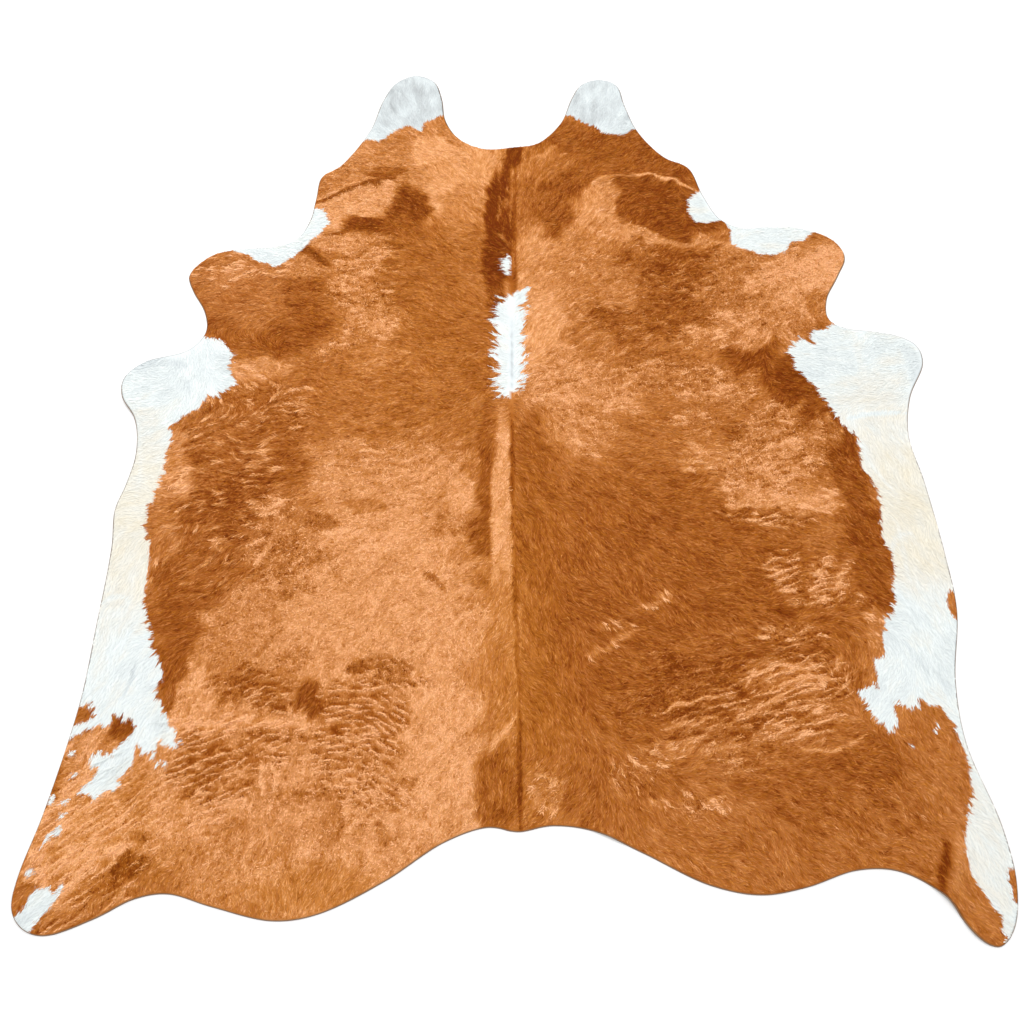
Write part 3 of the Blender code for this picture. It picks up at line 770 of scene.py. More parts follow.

# The brown hair's shade: place, x, y, half width, half height, turn, tone from 0 for dark brown
# to 1 for pale, and how mottled, rippled and wispy it is. The tone is partly the hair's own colour
# and partly painted light: pale where the nap catches the light, and painted shade in folds and dishes.
SHADES = (
    ("whole hide", 0.0, 1.0, 3.0, 3.0, 0, 0.38, 0.25, 0.0, 0.0),
    # The right of the neck and the shoulder.
    ("right crown", 0.24, 1.86, 0.28, 0.14, -8, 0.25, 0.15, 0.0, 0.1),
    ("crown by the spine", 0.09, 1.82, 0.07, 0.07, 0, 0.38, 0.25, 0.0, 0.3),
    ("right neck, high", 0.12, 1.705, 0.13, 0.07, 0, 0.2, 0.2, 0.0, 0.1),
    ("right dish", 0.42, 1.67, 0.18, 0.12, -6, 0.16, 0.12, 0.0, 0.0),
    ("by the spine, high", 0.075, 1.6, 0.065, 0.12, 0, 0.22, 0.3, 0.0, 0.3),
    ("by the spine", 0.09, 1.38, 0.11, 0.26, 0, 0.66, 0.4, 0.0, 0.3),
    ("light band", 0.235, 1.69, 0.045, 0.1, -16, 0.66, 0.4, 0.0, 0.4),
    ("light band, low", 0.22, 1.61, 0.05, 0.05, 15, 0.7, 0.35, 0.0, 0.4),
    ("light band, foot", 0.23, 1.53, 0.055, 0.035, 0, 0.72, 0.45, 0.0, 0.4),
    ("neck shade", 0.105, 1.625, 0.05, 0.06, 0, 0.22, 0.25, 0.0, 0.2),
    ("under the band", 0.27, 1.53, 0.16, 0.05, -10, 0.56, 0.45, 0.0, 0.4),
    ("lower ridge band", 0.31, 1.568, 0.11, 0.026, -14, 0.66, 0.5, 0.0, 0.5),
    ("lower ridge, outer", 0.56, 1.54, 0.08, 0.028, 0, 0.62, 0.55, 0.0, 0.5),
    ("inner shoulder", 0.24, 1.42, 0.17, 0.13, -10, 0.53, 0.5, 0.0, 0.4),
    ("dark shoulder", 0.45, 1.45, 0.16, 0.085, -8, 0.21, 0.4, 0.0, 0.3),
    ("dark shoulder, low", 0.44, 1.35, 0.12, 0.09, 0, 0.25, 0.5, 0.0, 0.4),
    ("foreleg", 0.76, 1.4, 0.13, 0.105, -6, 0.76, 1.1, 0.1, 0.8),
    ("foreleg tip", 0.86, 1.45, 0.07, 0.09, 0, 0.84, 0.8, 0.0, 0.4),
    ("foreleg top", 0.63, 1.485, 0.08, 0.032, 0, 0.5, 0.6, 0.0, 0.4),
    ("foreleg top, inner", 0.58, 1.56, 0.06, 0.026, 0, 0.38, 0.3, 0.0, 0.1),
    ("foreleg, inner", 0.57, 1.44, 0.055, 0.065, 0, 0.46, 0.7, 0.0, 0.4),
    ("shoulder notch, dark", 0.8, 1.33, 0.03, 0.06, 0, 0.44, 0.5, 0.0, 0.3),
    ("notch hair", 0.79, 1.245, 0.045, 0.04, 0, 0.2, 0.3, 0.0, 0.4),
    ("shoulder fold", 0.62, 1.28, 0.15, 0.08, 0, 0.6, 0.9, 0.1, 0.8),
    ("shoulder fold, inner", 0.5, 1.23, 0.12, 0.06, 0, 0.6, 0.8, 0.0, 0.9),
    ("shoulder cleft", 0.57, 1.355, 0.09, 0.036, -8, 0.45, 0.7, 0.0, 0.5),
    # The right of the back.
    ("right back", 0.24, 1.24, 0.17, 0.11, 0, 0.47, 0.45, 0.0, 0.4),
    ("shoulder shade", 0.33, 1.28, 0.17, 0.06, 0, 0.27, 0.45, 0.0, 0.4),
    ("right back, outer", 0.36, 1.15, 0.11, 0.05, -10, 0.34, 0.4, 0.0, 0.3),
    ("right of the blaze", 0.075, 1.2, 0.06, 0.17, 0, 0.76, 0.4, 0.0, 0.4),
    ("pale back", 0.16, 1.07, 0.16, 0.09, 0, 0.66, 0.9, 0.0, 0.7),
    ("pale back, low", 0.15, 0.95, 0.09, 0.07, -20, 0.64, 0.8, 0.0, 0.7),
    ("pale back, outer", 0.31, 1.11, 0.09, 0.05, 10, 0.5, 0.9, 0.0, 0.6),
    ("breast border", 0.65, 1.13, 0.12, 0.07, -24, 0.13, 0.12, 0.0, 0.1),
    ("breast border, low", 0.72, 1.03, 0.13, 0.07, -46, 0.13, 0.15, 0.0, 0.1),
    ("belly border, high", 0.785, 0.93, 0.062, 0.15, 10, 0.14, 0.25, 0.0, 0.1),
    ("pale fold", 0.48, 1.07, 0.12, 0.055, -5, 0.52, 0.9, 0.2, 0.9),
    ("pale patch, high", 0.44, 0.975, 0.06, 0.034, 0, 0.52, 0.8, 0.2, 0.8),
    ("dark island", 0.535, 0.94, 0.035, 0.05, 0, 0.3, 0.5, 0.0, 0.4),
    ("dark by the spine", 0.035, 0.87, 0.04, 0.11, 0, 0.26, 0.15, 0.0, 0.0),
    ("flank wisps", 0.64, 0.89, 0.12, 0.1, 8, 0.59, 1.1, 0.35, 1.0),
    ("flank wisps, upper", 0.645, 0.985, 0.06, 0.03, 0, 0.52, 1.0, 0.3, 0.8),
    ("flank wisps, inner", 0.44, 0.87, 0.06, 0.048, -20, 0.76, 0.7, 0.0, 0.9),
    ("flank wisps, middle", 0.54, 0.79, 0.065, 0.07, 0, 0.8, 0.8, 0.0, 0.9),
    ("flank wisps, low", 0.63, 0.755, 0.14, 0.04, 2, 0.72, 0.7, 0.0, 1.0),
    ("flank wisps, outer", 0.755, 0.76, 0.05, 0.03, -4, 0.66, 0.6, 0.4, 1.0),
    ("flank wisps, foot", 0.6, 0.69, 0.11, 0.018, 0, 0.38, 0.6, 0.0, 1.2),
    # The right loin and flank.
    ("right loin", 0.32, 0.6, 0.34, 0.26, 0, 0.26, 0.18, 0.0, 0.05),
    ("right loin, shade", 0.16, 0.38, 0.11, 0.16, 0, 0.24, 0.12, 0.0, 0.0),
    ("right flank, low", 0.6, 0.48, 0.16, 0.2, 0, 0.25, 0.2, 0.0, 0.15),
    ("by the spine, low", 0.075, 0.54, 0.075, 0.34, 0, 0.27, 0.15, 0.0, 0.0),
    ("flank wisps, heart", 0.59, 0.805, 0.085, 0.06, 8, 0.68, 1.1, 0.4, 1.0),
    ("flank wisps, fold", 0.61, 0.752, 0.105, 0.022, 2, 0.8, 0.7, 0.4, 1.0),
    ("flank wisps, strands", 0.6, 0.705, 0.1, 0.016, 0, 0.4, 0.5, 0.6, 1.2),
    ("second wisps", 0.615, 0.575, 0.05, 0.045, 20, 0.46, 0.6, 0.9, 1.2),
    ("second wisps, outer", 0.728, 0.56, 0.05, 0.05, 0, 0.52, 0.6, 0.9, 1.2),
    ("second wisps, low", 0.72, 0.5, 0.1, 0.02, 0, 0.36, 0.5, 0.6, 1.2),
    ("belly border", 0.83, 0.64, 0.065, 0.18, 4, 0.18, 0.12, 0.0, 0.0),
    ("flank wisps, rim", 0.72, 0.745, 0.06, 0.018, 0, 0.74, 0.6, 0.4, 1.0),
    ("low belly border", 0.815, 0.43, 0.025, 0.06, 0, 0.58, 0.4, 0.0, 0.9),
    ("lone wisp", 0.318, 0.49, 0.038, 0.009, 20, 0.6, 0.2, 0.3, 1.4),
    ("lone wisp, low", 0.195, 0.392, 0.052, 0.01, 24, 0.58, 0.2, 0.3, 1.5),
    ("lone wisp, faint", 0.225, 0.452, 0.05, 0.016, 18, 0.4, 0.3, 0.2, 1.2),
    ("lone wisp, upper", 0.245, 0.42, 0.03, 0.009, 30, 0.56, 0.2, 0.2, 1.2),
    ("outer wisps", 0.62, 0.42, 0.08, 0.024, 0, 0.48, 0.5, 0.4, 1.6),
    # The right rump and leg.
    ("right rump", 0.2, 0.14, 0.14, 0.1, 0, 0.31, 0.2, 0.0, 0.1),
    ("dark rump", 0.37, 0.28, 0.14, 0.09, 15, 0.21, 0.5, 0.1, 0.1),
    ("rump waves", 0.53, 0.27, 0.19, 0.095, 20, 0.32, 0.35, 0.75, 0.6),
    ("rump waves, high", 0.61, 0.32, 0.11, 0.036, 6, 0.5, 0.3, 0.75, 1.0),
    ("rump waves, outer", 0.62, 0.225, 0.1, 0.04, 10, 0.48, 0.4, 0.7, 1.0),
    ("rump tuft", 0.345, 0.165, 0.06, 0.018, 27, 0.64, 0.3, 0.3, 1.2),
    ("rump tuft, inner", 0.42, 0.205, 0.05, 0.01, 24, 0.4, 0.3, 0.6, 1.2),
    ("rump specks, high", 0.25, 0.12, 0.06, 0.04, 30, 0.42, 0.5, 0.0, 0.8),
    ("rump middle", 0.49, 0.15, 0.1, 0.05, 0, 0.44, 0.6, 0.2, 0.6),
    ("rump specks", 0.37, 0.05, 0.035, 0.03, 0, 0.46, 0.8, 0.0, 1.0),
    ("rump specks, inner", 0.29, 0.05, 0.02, 0.014, 20, 0.62, 0.4, 0.0, 1.0),
    ("rump specks, outer", 0.418, 0.055, 0.026, 0.02, 20, 0.6, 0.6, 0.0, 1.2),
    ("tail patch", 0.072, 0.082, 0.042, 0.054, 6, 0.58, 0.6, 0.0, 0.8),
    ("tail, right rim", 0.2, 0.01, 0.09, 0.04, -20, 0.28, 0.2, 0.0, 0.1),
    ("dark rump, low", 0.63, 0.08, 0.15, 0.085, 0, 0.28, 0.25, 0.0, 0.1),
    ("dark thigh", 0.75, 0.14, 0.08, 0.06, 0, 0.25, 0.2, 0.0, 0.0),
    ("rump foot", 0.44, -0.05, 0.26, 0.06, -6, 0.37, 0.2, 0.0, 0.1),
    ("thigh foot", 0.76, 0.03, 0.1, 0.05, 0, 0.33, 0.3, 0.0, 0.3),
    ("thigh top", 0.87, 0.22, 0.09, 0.07, -20, 0.4, 0.2, 0.0, 0.1),
    ("thigh rim", 0.91, 0.08, 0.04, 0.14, -6, 0.42, 0.2, 0.0, 0.1),
    ("pleat", 0.862, -0.08, 0.013, 0.075, -24, 0.08, 0.1, 0.0, 0.0),
    ("hind leg", 0.92, -0.12, 0.05, 0.12, 0, 0.44, 0.15, 0.0, 0.1),
    # The left of the neck and the shoulder.
    ("left neck", -0.28, 1.8, 0.3, 0.2, 0, 0.6, 0.4, 0.0, 0.3),
    ("left crown", -0.27, 1.9, 0.17, 0.05, 0, 0.55, 0.4, 0.0, 0.3),
    ("left crown, inner", -0.12, 1.83, 0.08, 0.07, 0, 0.7, 0.35, 0.0, 0.3),
    ("left crown, pale", -0.255, 1.865, 0.06, 0.045, 0, 0.82, 0.35, 0.0, 0.3),
    ("above the fold", -0.48, 1.775, 0.1, 0.03, 30, 0.54, 0.5, 0.0, 0.3),
    ("fold shadow", -0.37, 1.785, 0.065, 0.022, 4, 0.26, 0.35, 0.0, 0.0),
    ("below the fold", -0.44, 1.7, 0.12, 0.045, 10, 0.78, 0.6, 0.0, 0.5),
    ("neck side", -0.51, 1.65, 0.07, 0.05, 10, 0.78, 0.5, 0.0, 0.3),
    ("inner neck", -0.19, 1.72, 0.07, 0.12, 0, 0.76, 0.3, 0.0, 0.2),
    ("dark neck", -0.3, 1.655, 0.06, 0.088, 0, 0.11, 0.3, 0.0, 0.0),
    ("dark neck, outer", -0.385, 1.61, 0.1, 0.028, 0, 0.16, 0.3, 0.0, 0.0),
    ("dark neck, foot", -0.3, 1.54, 0.12, 0.07, 0, 0.2, 0.3, 0.0, 0.0),
    ("lower fold", -0.46, 1.545, 0.11, 0.035, 0, 0.68, 0.9, 0.2, 0.4),
    ("light strip", -0.16, 1.62, 0.05, 0.14, 0, 0.55, 0.25, 0.0, 0.1),
    ("left shoulder", -0.25, 1.38, 0.15, 0.22, 0, 0.33, 0.22, 0.0, 0.1),
    ("ruffled shoulder", -0.43, 1.45, 0.09, 0.09, 0, 0.64, 1.0, 0.4, 0.8),
    ("ruffled shoulder, low", -0.4, 1.36, 0.075, 0.06, 0, 0.56, 1.0, 0.3, 0.9),
    ("ruffled patch", -0.38, 1.25, 0.09, 0.055, 10, 0.7, 1.0, 0.3, 0.9),
    ("ruffled patch, low", -0.47, 1.19, 0.06, 0.028, 30, 0.6, 0.9, 0.0, 1.0),
    ("dark leg root", -0.56, 1.33, 0.06, 0.12, 0, 0.25, 0.25, 0.0, 0.0),
    ("leg root, high", -0.56, 1.45, 0.06, 0.05, 0, 0.52, 0.6, 0.0, 0.4),
    ("dark armpit", -0.61, 1.235, 0.1, 0.062, 0, 0.2, 0.2, 0.0, 0.0),
    ("left foreleg", -0.75, 1.38, 0.13, 0.12, 0, 0.41, 0.25, 0.0, 0.2),
    ("left foreleg wisps", -0.73, 1.44, 0.13, 0.035, 4, 0.56, 0.4, 0.0, 1.3),
    ("left foreleg rim", -0.76, 1.485, 0.08, 0.015, 8, 0.52, 0.4, 0.0, 0.8),
    ("left foreleg notch", -0.78, 1.23, 0.06, 0.06, 0, 0.24, 0.2, 0.0, 0.0),
    ("left armpit, pale", -0.665, 1.13, 0.085, 0.035, 0, 0.66, 0.4, 0.0, 0.5),
    ("left breast rim", -0.75, 1.05, 0.08, 0.05, 20, 0.76, 0.45, 0.0, 0.6),
    ("dark band", -0.058, 1.56, 0.03, 0.24, 0, 0.02, 0.1, 0.0, 0.1),
    ("dark band, foot", -0.052, 1.33, 0.024, 0.09, 0, 0.16, 0.15, 0.0, 0.1),
    ("left of the blaze", -0.085, 1.19, 0.035, 0.13, 0, 0.31, 0.2, 0.0, 0.1),
    ("spine, high", -0.028, 1.63, 0.022, 0.22, 0, 0.06, 0.2, 0.0, 0.5),
    # The left back and flank.
    ("left back", -0.31, 1.08, 0.22, 0.15, 0, 0.37, 0.3, 0.0, 0.15),
    ("left back, high", -0.35, 1.16, 0.08, 0.05, 0, 0.5, 0.4, 0.0, 0.2),
    ("left flank streaks", -0.66, 1.0, 0.16, 0.08, 0, 0.4, 0.5, 0.2, 1.0),
    ("left flank", -0.7, 0.8, 0.18, 0.2, 0, 0.33, 0.35, 0.1, 0.7),
    ("left flank border", -0.84, 0.85, 0.05, 0.12, 6, 0.6, 0.35, 0.0, 0.5),
    ("left flank border, low", -0.85, 0.66, 0.04, 0.12, 0, 0.48, 0.25, 0.0, 0.3),
    ("left flank, pale rim", -0.8, 0.575, 0.055, 0.034, 0, 0.48, 0.4, 0.2, 0.9),
    ("left flank, middle", -0.66, 0.76, 0.1, 0.09, 0, 0.24, 0.4, 0.0, 0.7),
    ("left flank, low", -0.72, 0.53, 0.12, 0.13, 0, 0.29, 0.25, 0.0, 0.4),
    ("dark diagonal", -0.535, 0.815, 0.048, 0.12, 12, 0.24, 0.2, 0.0, 0.1),
    ("pale back, left", -0.3, 0.86, 0.2, 0.09, 0, 0.54, 0.6, 0.0, 0.5),
    ("pale loin, high", -0.42, 0.87, 0.08, 0.05, 0, 0.62, 0.6, 0.0, 0.5),
    ("pale loin, inner", -0.21, 0.83, 0.09, 0.05, 0, 0.62, 0.8, 0.1, 0.5),
    ("pale loin", -0.33, 0.63, 0.22, 0.2, 0, 0.73, 0.65, 0.0, 0.3),
    ("pale loin, notch", -0.44, 0.775, 0.05, 0.04, 0, 0.66, 0.7, 0.0, 0.4),
    ("pale rump", -0.34, 0.42, 0.32, 0.14, 0, 0.73, 0.7, 0.0, 0.2),
    ("pale rump, outer", -0.6, 0.44, 0.1, 0.08, 0, 0.6, 0.8, 0.0, 0.3),
    ("mottled loin", -0.53, 0.59, 0.1, 0.08, 30, 0.5, 1.2, 0.0, 0.6),
    ("veins", -0.56, 0.725, 0.042, 0.035, 0, 0.58, 0.9, 0.0, 1.3),
    ("veins, low", -0.6, 0.64, 0.06, 0.035, 50, 0.52, 1.1, 0.0, 1.3),
    ("lone vein", -0.7, 0.645, 0.025, 0.02, 0, 0.58, 0.6, 0.0, 1.0),
    ("dark notch", -0.49, 0.705, 0.065, 0.025, -8, 0.38, 0.7, 0.0, 0.0),
    ("loin shade", -0.363, 0.742, 0.05, 0.018, 0, 0.46, 0.4, 0.0, 0.0),
    ("loin shade, inner", -0.155, 0.68, 0.05, 0.035, 0, 0.56, 0.9, 0.2, 0.0),
    ("loin hook", -0.19, 0.55, 0.034, 0.01, -40, 0.34, 0.6, 0.0, 0.0),
    ("dark strip, high", -0.072, 0.93, 0.022, 0.12, 0, 0.26, 0.15, 0.0, 0.0),
    ("beside the strip", -0.13, 0.765, 0.03, 0.055, 0, 0.76, 0.6, 0.0, 0.3),
    ("dark strip", -0.074, 0.78, 0.018, 0.13, 0, 0.22, 0.15, 0.0, 0.0),
    ("dark strip, foot", -0.086, 0.655, 0.034, 0.055, 0, 0.2, 0.2, 0.0, 0.0),
    ("pale strip", -0.036, 0.68, 0.026, 0.32, 0, 0.78, 0.55, 0.0, 0.3),
    ("spine strip", -0.036, 0.42, 0.036, 0.16, 0, 0.54, 0.25, 0.0, 0.2),
    ("spine strip, low", -0.05, 0.28, 0.042, 0.1, 0, 0.45, 0.25, 0.0, 0.1),
    # The left rump, tail and leg.
    ("left rump", -0.4, 0.08, 0.34, 0.28, 0, 0.71, 0.75, 0.2, 0.3),
    ("rump by the flank", -0.72, 0.26, 0.07, 0.1, 0, 0.74, 0.5, 0.3, 0.3),
    ("tail side", -0.17, 0.16, 0.1, 0.18, 0, 0.78, 0.65, 0.0, 0.2),
    ("tail", -0.045, 0.075, 0.044, 0.1, 0, 0.26, 0.2, 0.0, 0.2),
    ("pits above the blob", -0.5, 0.365, 0.05, 0.03, 0, 0.58, 1.2, 0.0, 0.0),
    ("dark tufts", -0.3, 0.335, 0.06, 0.034, 0, 0.44, 1.0, 0.5, 0.0),
    ("dark tufts, outer", -0.355, 0.34, 0.022, 0.018, 0, 0.24, 0.5, 0.2, 0.0),
    ("dark tufts, foot", -0.275, 0.303, 0.07, 0.012, 4, 0.36, 0.6, 0.8, 0.0),
    ("dark bump, left", -0.77, 0.345, 0.04, 0.05, 0, 0.22, 0.1, 0.0, 0.0),
    ("dark bump, lower", -0.762, 0.27, 0.026, 0.038, 0, 0.24, 0.1, 0.0, 0.0),
    ("low flank, dark", -0.76, 0.44, 0.055, 0.08, 0, 0.22, 0.12, 0.0, 0.0),
    ("dark patch", -0.595, 0.308, 0.098, 0.05, -6, 0.35, 0.5, 0.8, 0.2),
    ("dark patch, foot", -0.525, 0.262, 0.045, 0.026, -20, 0.34, 0.5, 0.8, 0.2),
    ("high ripples", -0.62, 0.208, 0.15, 0.026, 0, 0.8, 0.5, 1.0, 0.2),
    ("ripples", -0.335, 0.235, 0.105, 0.055, -8, 0.44, 0.4, 1.1, 0.1),
    ("ripples, low", -0.34, 0.16, 0.12, 0.042, -10, 0.52, 0.6, 1.0, 0.1),
    ("ripples, foot", -0.33, 0.09, 0.11, 0.045, -16, 0.62, 0.9, 0.8, 0.1),
    ("ripples, outer", -0.665, 0.14, 0.085, 0.055, 14, 0.4, 0.4, 1.0, 0.2),
    ("ripples, outer foot", -0.64, 0.07, 0.09, 0.03, 10, 0.48, 0.5, 0.9, 0.3),
    ("ripple pits", -0.54, 0.192, 0.09, 0.014, 2, 0.48, 0.9, 0.9, 0.1),
    ("round blob", -0.454, 0.275, 0.037, 0.038, 0, 0.14, 0.1, 0.0, 0.0),
    ("ripples, between", -0.55, 0.145, 0.06, 0.032, 0, 0.46, 0.5, 1.0, 0.1),
    ("fan", -0.525, 0.07, 0.042, 0.055, 0, 0.7, 0.9, 0.2, 1.2),
    ("brown under the ripples", -0.435, 0.07, 0.045, 0.02, 0, 0.42, 0.8, 0.4, 0.0),
    ("brown stripe", -0.385, 0.01, 0.02, 0.055, -14, 0.48, 0.7, 0.0, 0.0),
    ("brown speck", -0.228, 0.094, 0.018, 0.015, 0, 0.48, 0.8, 0.2, 0.0),
    ("brown hook", -0.28, -0.01, 0.014, 0.03, 20, 0.5, 0.8, 0.2, 0.0),
    ("brown specks, outer", -0.6, 0.0, 0.035, 0.022, 20, 0.46, 0.6, 0.2, 0.2),
    ("rump foot, left", -0.54, -0.03, 0.09, 0.045, 0, 0.58, 0.55, 0.0, 0.2),
    ("rump rim", -0.42, -0.12, 0.13, 0.045, 8, 0.52, 0.35, 0.0, 0.2),
    ("thigh", -0.88, 0.05, 0.15, 0.14, 0, 0.76, 0.6, 0.7, 0.5),
    ("thigh, gold", -0.8, 0.09, 0.045, 0.045, 0, 0.54, 0.4, 0.3, 0.1),
    ("thigh rim, upper", -0.93, 0.17, 0.05, 0.04, 20, 0.62, 0.5, 0.2, 0.6),
    ("thigh rim, dark", -0.985, 0.09, 0.025, 0.05, 0, 0.36, 0.4, 0.3, 0.4),
    ("thigh, inner", -0.72, 0.02, 0.1, 0.06, 0, 0.7, 0.65, 0.5, 0.3),
    ("thigh, slashes", -0.78, 0.15, 0.05, 0.035, 0, 0.7, 0.4, 0.4, 0.3),
    ("hind leg, left", -0.91, -0.05, 0.1, 0.07, 30, 0.8, 0.5, 0.7, 0.6),
    ("dark wave", -0.785, -0.07, 0.046, 0.026, 6, 0.24, 0.5, 0.8, 0.2),
    ("dark wave, upper", -0.776, -0.012, 0.03, 0.014, -10, 0.4, 0.5, 0.5, 0.2),
    ("shank waves", -0.84, -0.12, 0.07, 0.03, 0, 0.52, 0.4, 0.9, 0.6),
    ("shank foot", -0.88, -0.165, 0.08, 0.03, 20, 0.46, 0.3, 0.5, 0.4),
    ("shank rim", -0.99, -0.13, 0.02, 0.035, 0, 0.4, 0.2, 0.0, 0.2),
    ("left thigh spot", -0.85, 0.215, 0.03, 0.03, 0, 0.17, 0.1, 0.0, 0.0),
    ("belly rim patch", 0.985, 0.49, 0.04, 0.05, 0, 0.46, 0.2, 0.0, 0.3),
    ("neck dip", -0.006, 1.865, 0.022, 0.06, 0, 0.04, 0.2, 0.0, 0.0),
    ("below the star", -0.008, 1.405, 0.014, 0.045, 0, 0.2, 0.2, 0.0, 0.0),
)
RAGGED_SIZE = 0.06  # a field of this half width strays by one share
tone, mottle, ripple, wisp = (np.zeros_like(over_x) for _ in range(4))
for _, x, y, half_x, half_y, turn, to_tone, to_mottle, to_ripple, to_wisp in SHADES:
    small = min(half_x, half_y)
    # A small field has a firm border, and a large one a soft one.
    soft = np.interp(small, (0.02, 0.08), (0.4, 0.72))
    apart = oval(x, y, half_x, half_y, turn, np.clip(small / RAGGED_SIZE, 0.4, 1.7))
    share = np.clip((1.0 + 0.5 * soft - apart) / soft, 0.0, 1.0)
    share = share * share * (3.0 - 2.0 * share)
    tone += share * (to_tone - tone)
    mottle += share * (to_mottle - mottle)
    ripple += share * (to_ripple - ripple)
    wisp += share * (to_wisp - wisp)

# Ruffled hair stands in waves, each crest given a painted highlight and the hollow below it painted
# shade. Curly hair has pale veins around dark pits: painted light and shade of the curls.
CREST_HIGHLIGHT, CREST_MEAN = 0.6, 0.18
HOLLOW_SHADE, HOLLOW_MEAN = 0.5, 0.36
STREAK_SHEEN, STREAK_MEAN = 0.56, 0.14
CURL_LIGHT = 0.11
VEIN_LIGHT, VEIN_WIDTH = 0.13, 0.22
SMALL_VEIN_LIGHT, SMALL_VEIN_WIDTH = 0.21, 0.34
PIT_SHADE = 0.18
BASIN_LIGHT = 0.08
basins = cells(0.024, 1.8)
vein = np.exp(-((basins / VEIN_WIDTH) ** 2)) - 0.2
knots = cells(0.0155, 1.7)
small_vein = np.exp(-((knots / SMALL_VEIN_WIDTH) ** 2)) - 0.3
pits = np.clip(knots - 1.0, 0.0, 1.5) - 0.08
tone += ripple * (CREST_HIGHLIGHT * (crest - CREST_MEAN) - HOLLOW_SHADE * (hollow - HOLLOW_MEAN))
tone += mottle * (CURL_LIGHT * curls + VEIN_LIGHT * vein + SMALL_VEIN_LIGHT * small_vein - PIT_SHADE * pits)
tone += mottle * (BASIN_LIGHT * np.tanh(basins) + 0.04 * locks)
# Pale wisps: painted sheen on strands that catch the light.
streak = np.clip(wisps - 0.7, 0.0, 1.3)
tone += wisp * STREAK_SHEEN * (streak - STREAK_MEAN)
# All of it has faint strands, locks and clouds.
tone += 0.06 * strands + 0.02 * locks + 0.015 * grain(0.015)

# Thin lines in the lying hair: dark ones along the spine, the folds and the pleat's groove are
# painted shadow, and pale ones on the ridges, the pleat's lip and the strands painted highlight.
# Columns: place, start, bend, end, half width, tone, strength.
LINES = (
    ("spine", -0.003, 1.88, -0.003, 1.62, -0.004, 1.37, 0.0035, 0.02, 0.7),
    ("spine strand", -0.012, 1.8, -0.016, 1.7, -0.014, 1.58, 0.003, 0.55, 0.6),
    ("spine, middle", -0.014, 1.0, -0.014, 0.85, -0.008, 0.65, 0.004, 0.02, 0.9),
    ("spine, low", -0.008, 0.68, -0.002, 0.45, 0.002, 0.25, 0.0032, 0.06, 0.7),
    ("spine, tail", 0.003, 0.25, 0.004, 0.12, 0.006, 0.0, 0.0045, 0.02, 0.8),
    ("left upper fold", -0.56, 1.675, -0.45, 1.745, -0.341, 1.764, 0.006, 0.05, 0.8),
    ("left lower fold", -0.525, 1.568, -0.45, 1.595, -0.37, 1.583, 0.005, 0.08, 0.7),
    ("left notch fold", -0.59, 1.53, -0.56, 1.505, -0.512, 1.46, 0.008, 0.1, 0.8),
    ("right upper ridge, inner", 0.214, 1.745, 0.26, 1.79, 0.33, 1.783, 0.005, 0.8, 0.6),
    ("right upper ridge", 0.33, 1.783, 0.42, 1.775, 0.508, 1.722, 0.004, 1.0, 0.9),
    ("right lower ridge", 0.26, 1.585, 0.37, 1.52, 0.585, 1.538, 0.005, 0.8, 0.6),
    ("crown wisp", 0.04, 1.84, 0.08, 1.855, 0.12, 1.89, 0.006, 0.7, 0.7),
    ("tail fold", -0.06, 0.165, -0.035, 0.2, 0.0, 0.24, 0.005, 0.85, 0.8),
    ("pleat groove", 0.884, -0.02, 0.872, -0.07, 0.846, -0.124, 0.005, 0.0, 0.9),
    ("pleat lip", 0.912, 0.0, 0.904, -0.055, 0.868, -0.122, 0.006, 0.62, 0.7),
    ("thigh vein, upper", -0.63, 0.56, -0.585, 0.65, -0.545, 0.7, 0.0034, 0.9, 0.45),
    ("thigh vein", -0.655, 0.59, -0.6, 0.61, -0.56, 0.66, 0.003, 0.85, 0.4),
    ("rump strand, long", 0.29, 0.235, 0.35, 0.262, 0.43, 0.275, 0.003, 0.9, 0.8),
    ("rump strand, second", 0.305, 0.2, 0.37, 0.212, 0.425, 0.245, 0.003, 0.85, 0.7),
    ("rump strand, high", 0.49, 0.305, 0.535, 0.365, 0.61, 0.34, 0.0035, 0.95, 0.8),
    ("rump strand, upper", 0.55, 0.345, 0.61, 0.35, 0.665, 0.318, 0.003, 0.9, 0.8),
    ("rump strand, outer", 0.55, 0.298, 0.62, 0.325, 0.7, 0.33, 0.003, 0.95, 0.8),
    ("rump strand, middle", 0.495, 0.25, 0.57, 0.29, 0.65, 0.3, 0.003, 0.9, 0.8),
    ("rump strand, inner", 0.44, 0.215, 0.51, 0.255, 0.56, 0.275, 0.0026, 0.8, 0.7),
    ("rump strand, lower", 0.6, 0.172, 0.68, 0.15, 0.755, 0.195, 0.003, 0.85, 0.8),
    ("rump strand, low", 0.41, 0.158, 0.45, 0.172, 0.5, 0.165, 0.0026, 0.75, 0.7),
    ("loin strand", 0.45, 0.405, 0.49, 0.425, 0.54, 0.445, 0.0024, 0.65, 0.6),
    ("flank strand", -0.49, 0.772, -0.47, 0.77, -0.44, 0.772, 0.0024, 0.9, 0.7),
    ("blob rim", -0.5, 0.27, -0.485, 0.225, -0.44, 0.215, 0.0026, 0.95, 0.6),
)


LINE_PARTS = 60
LINE_REACH = 0.03  # further than this from a line, nothing changes


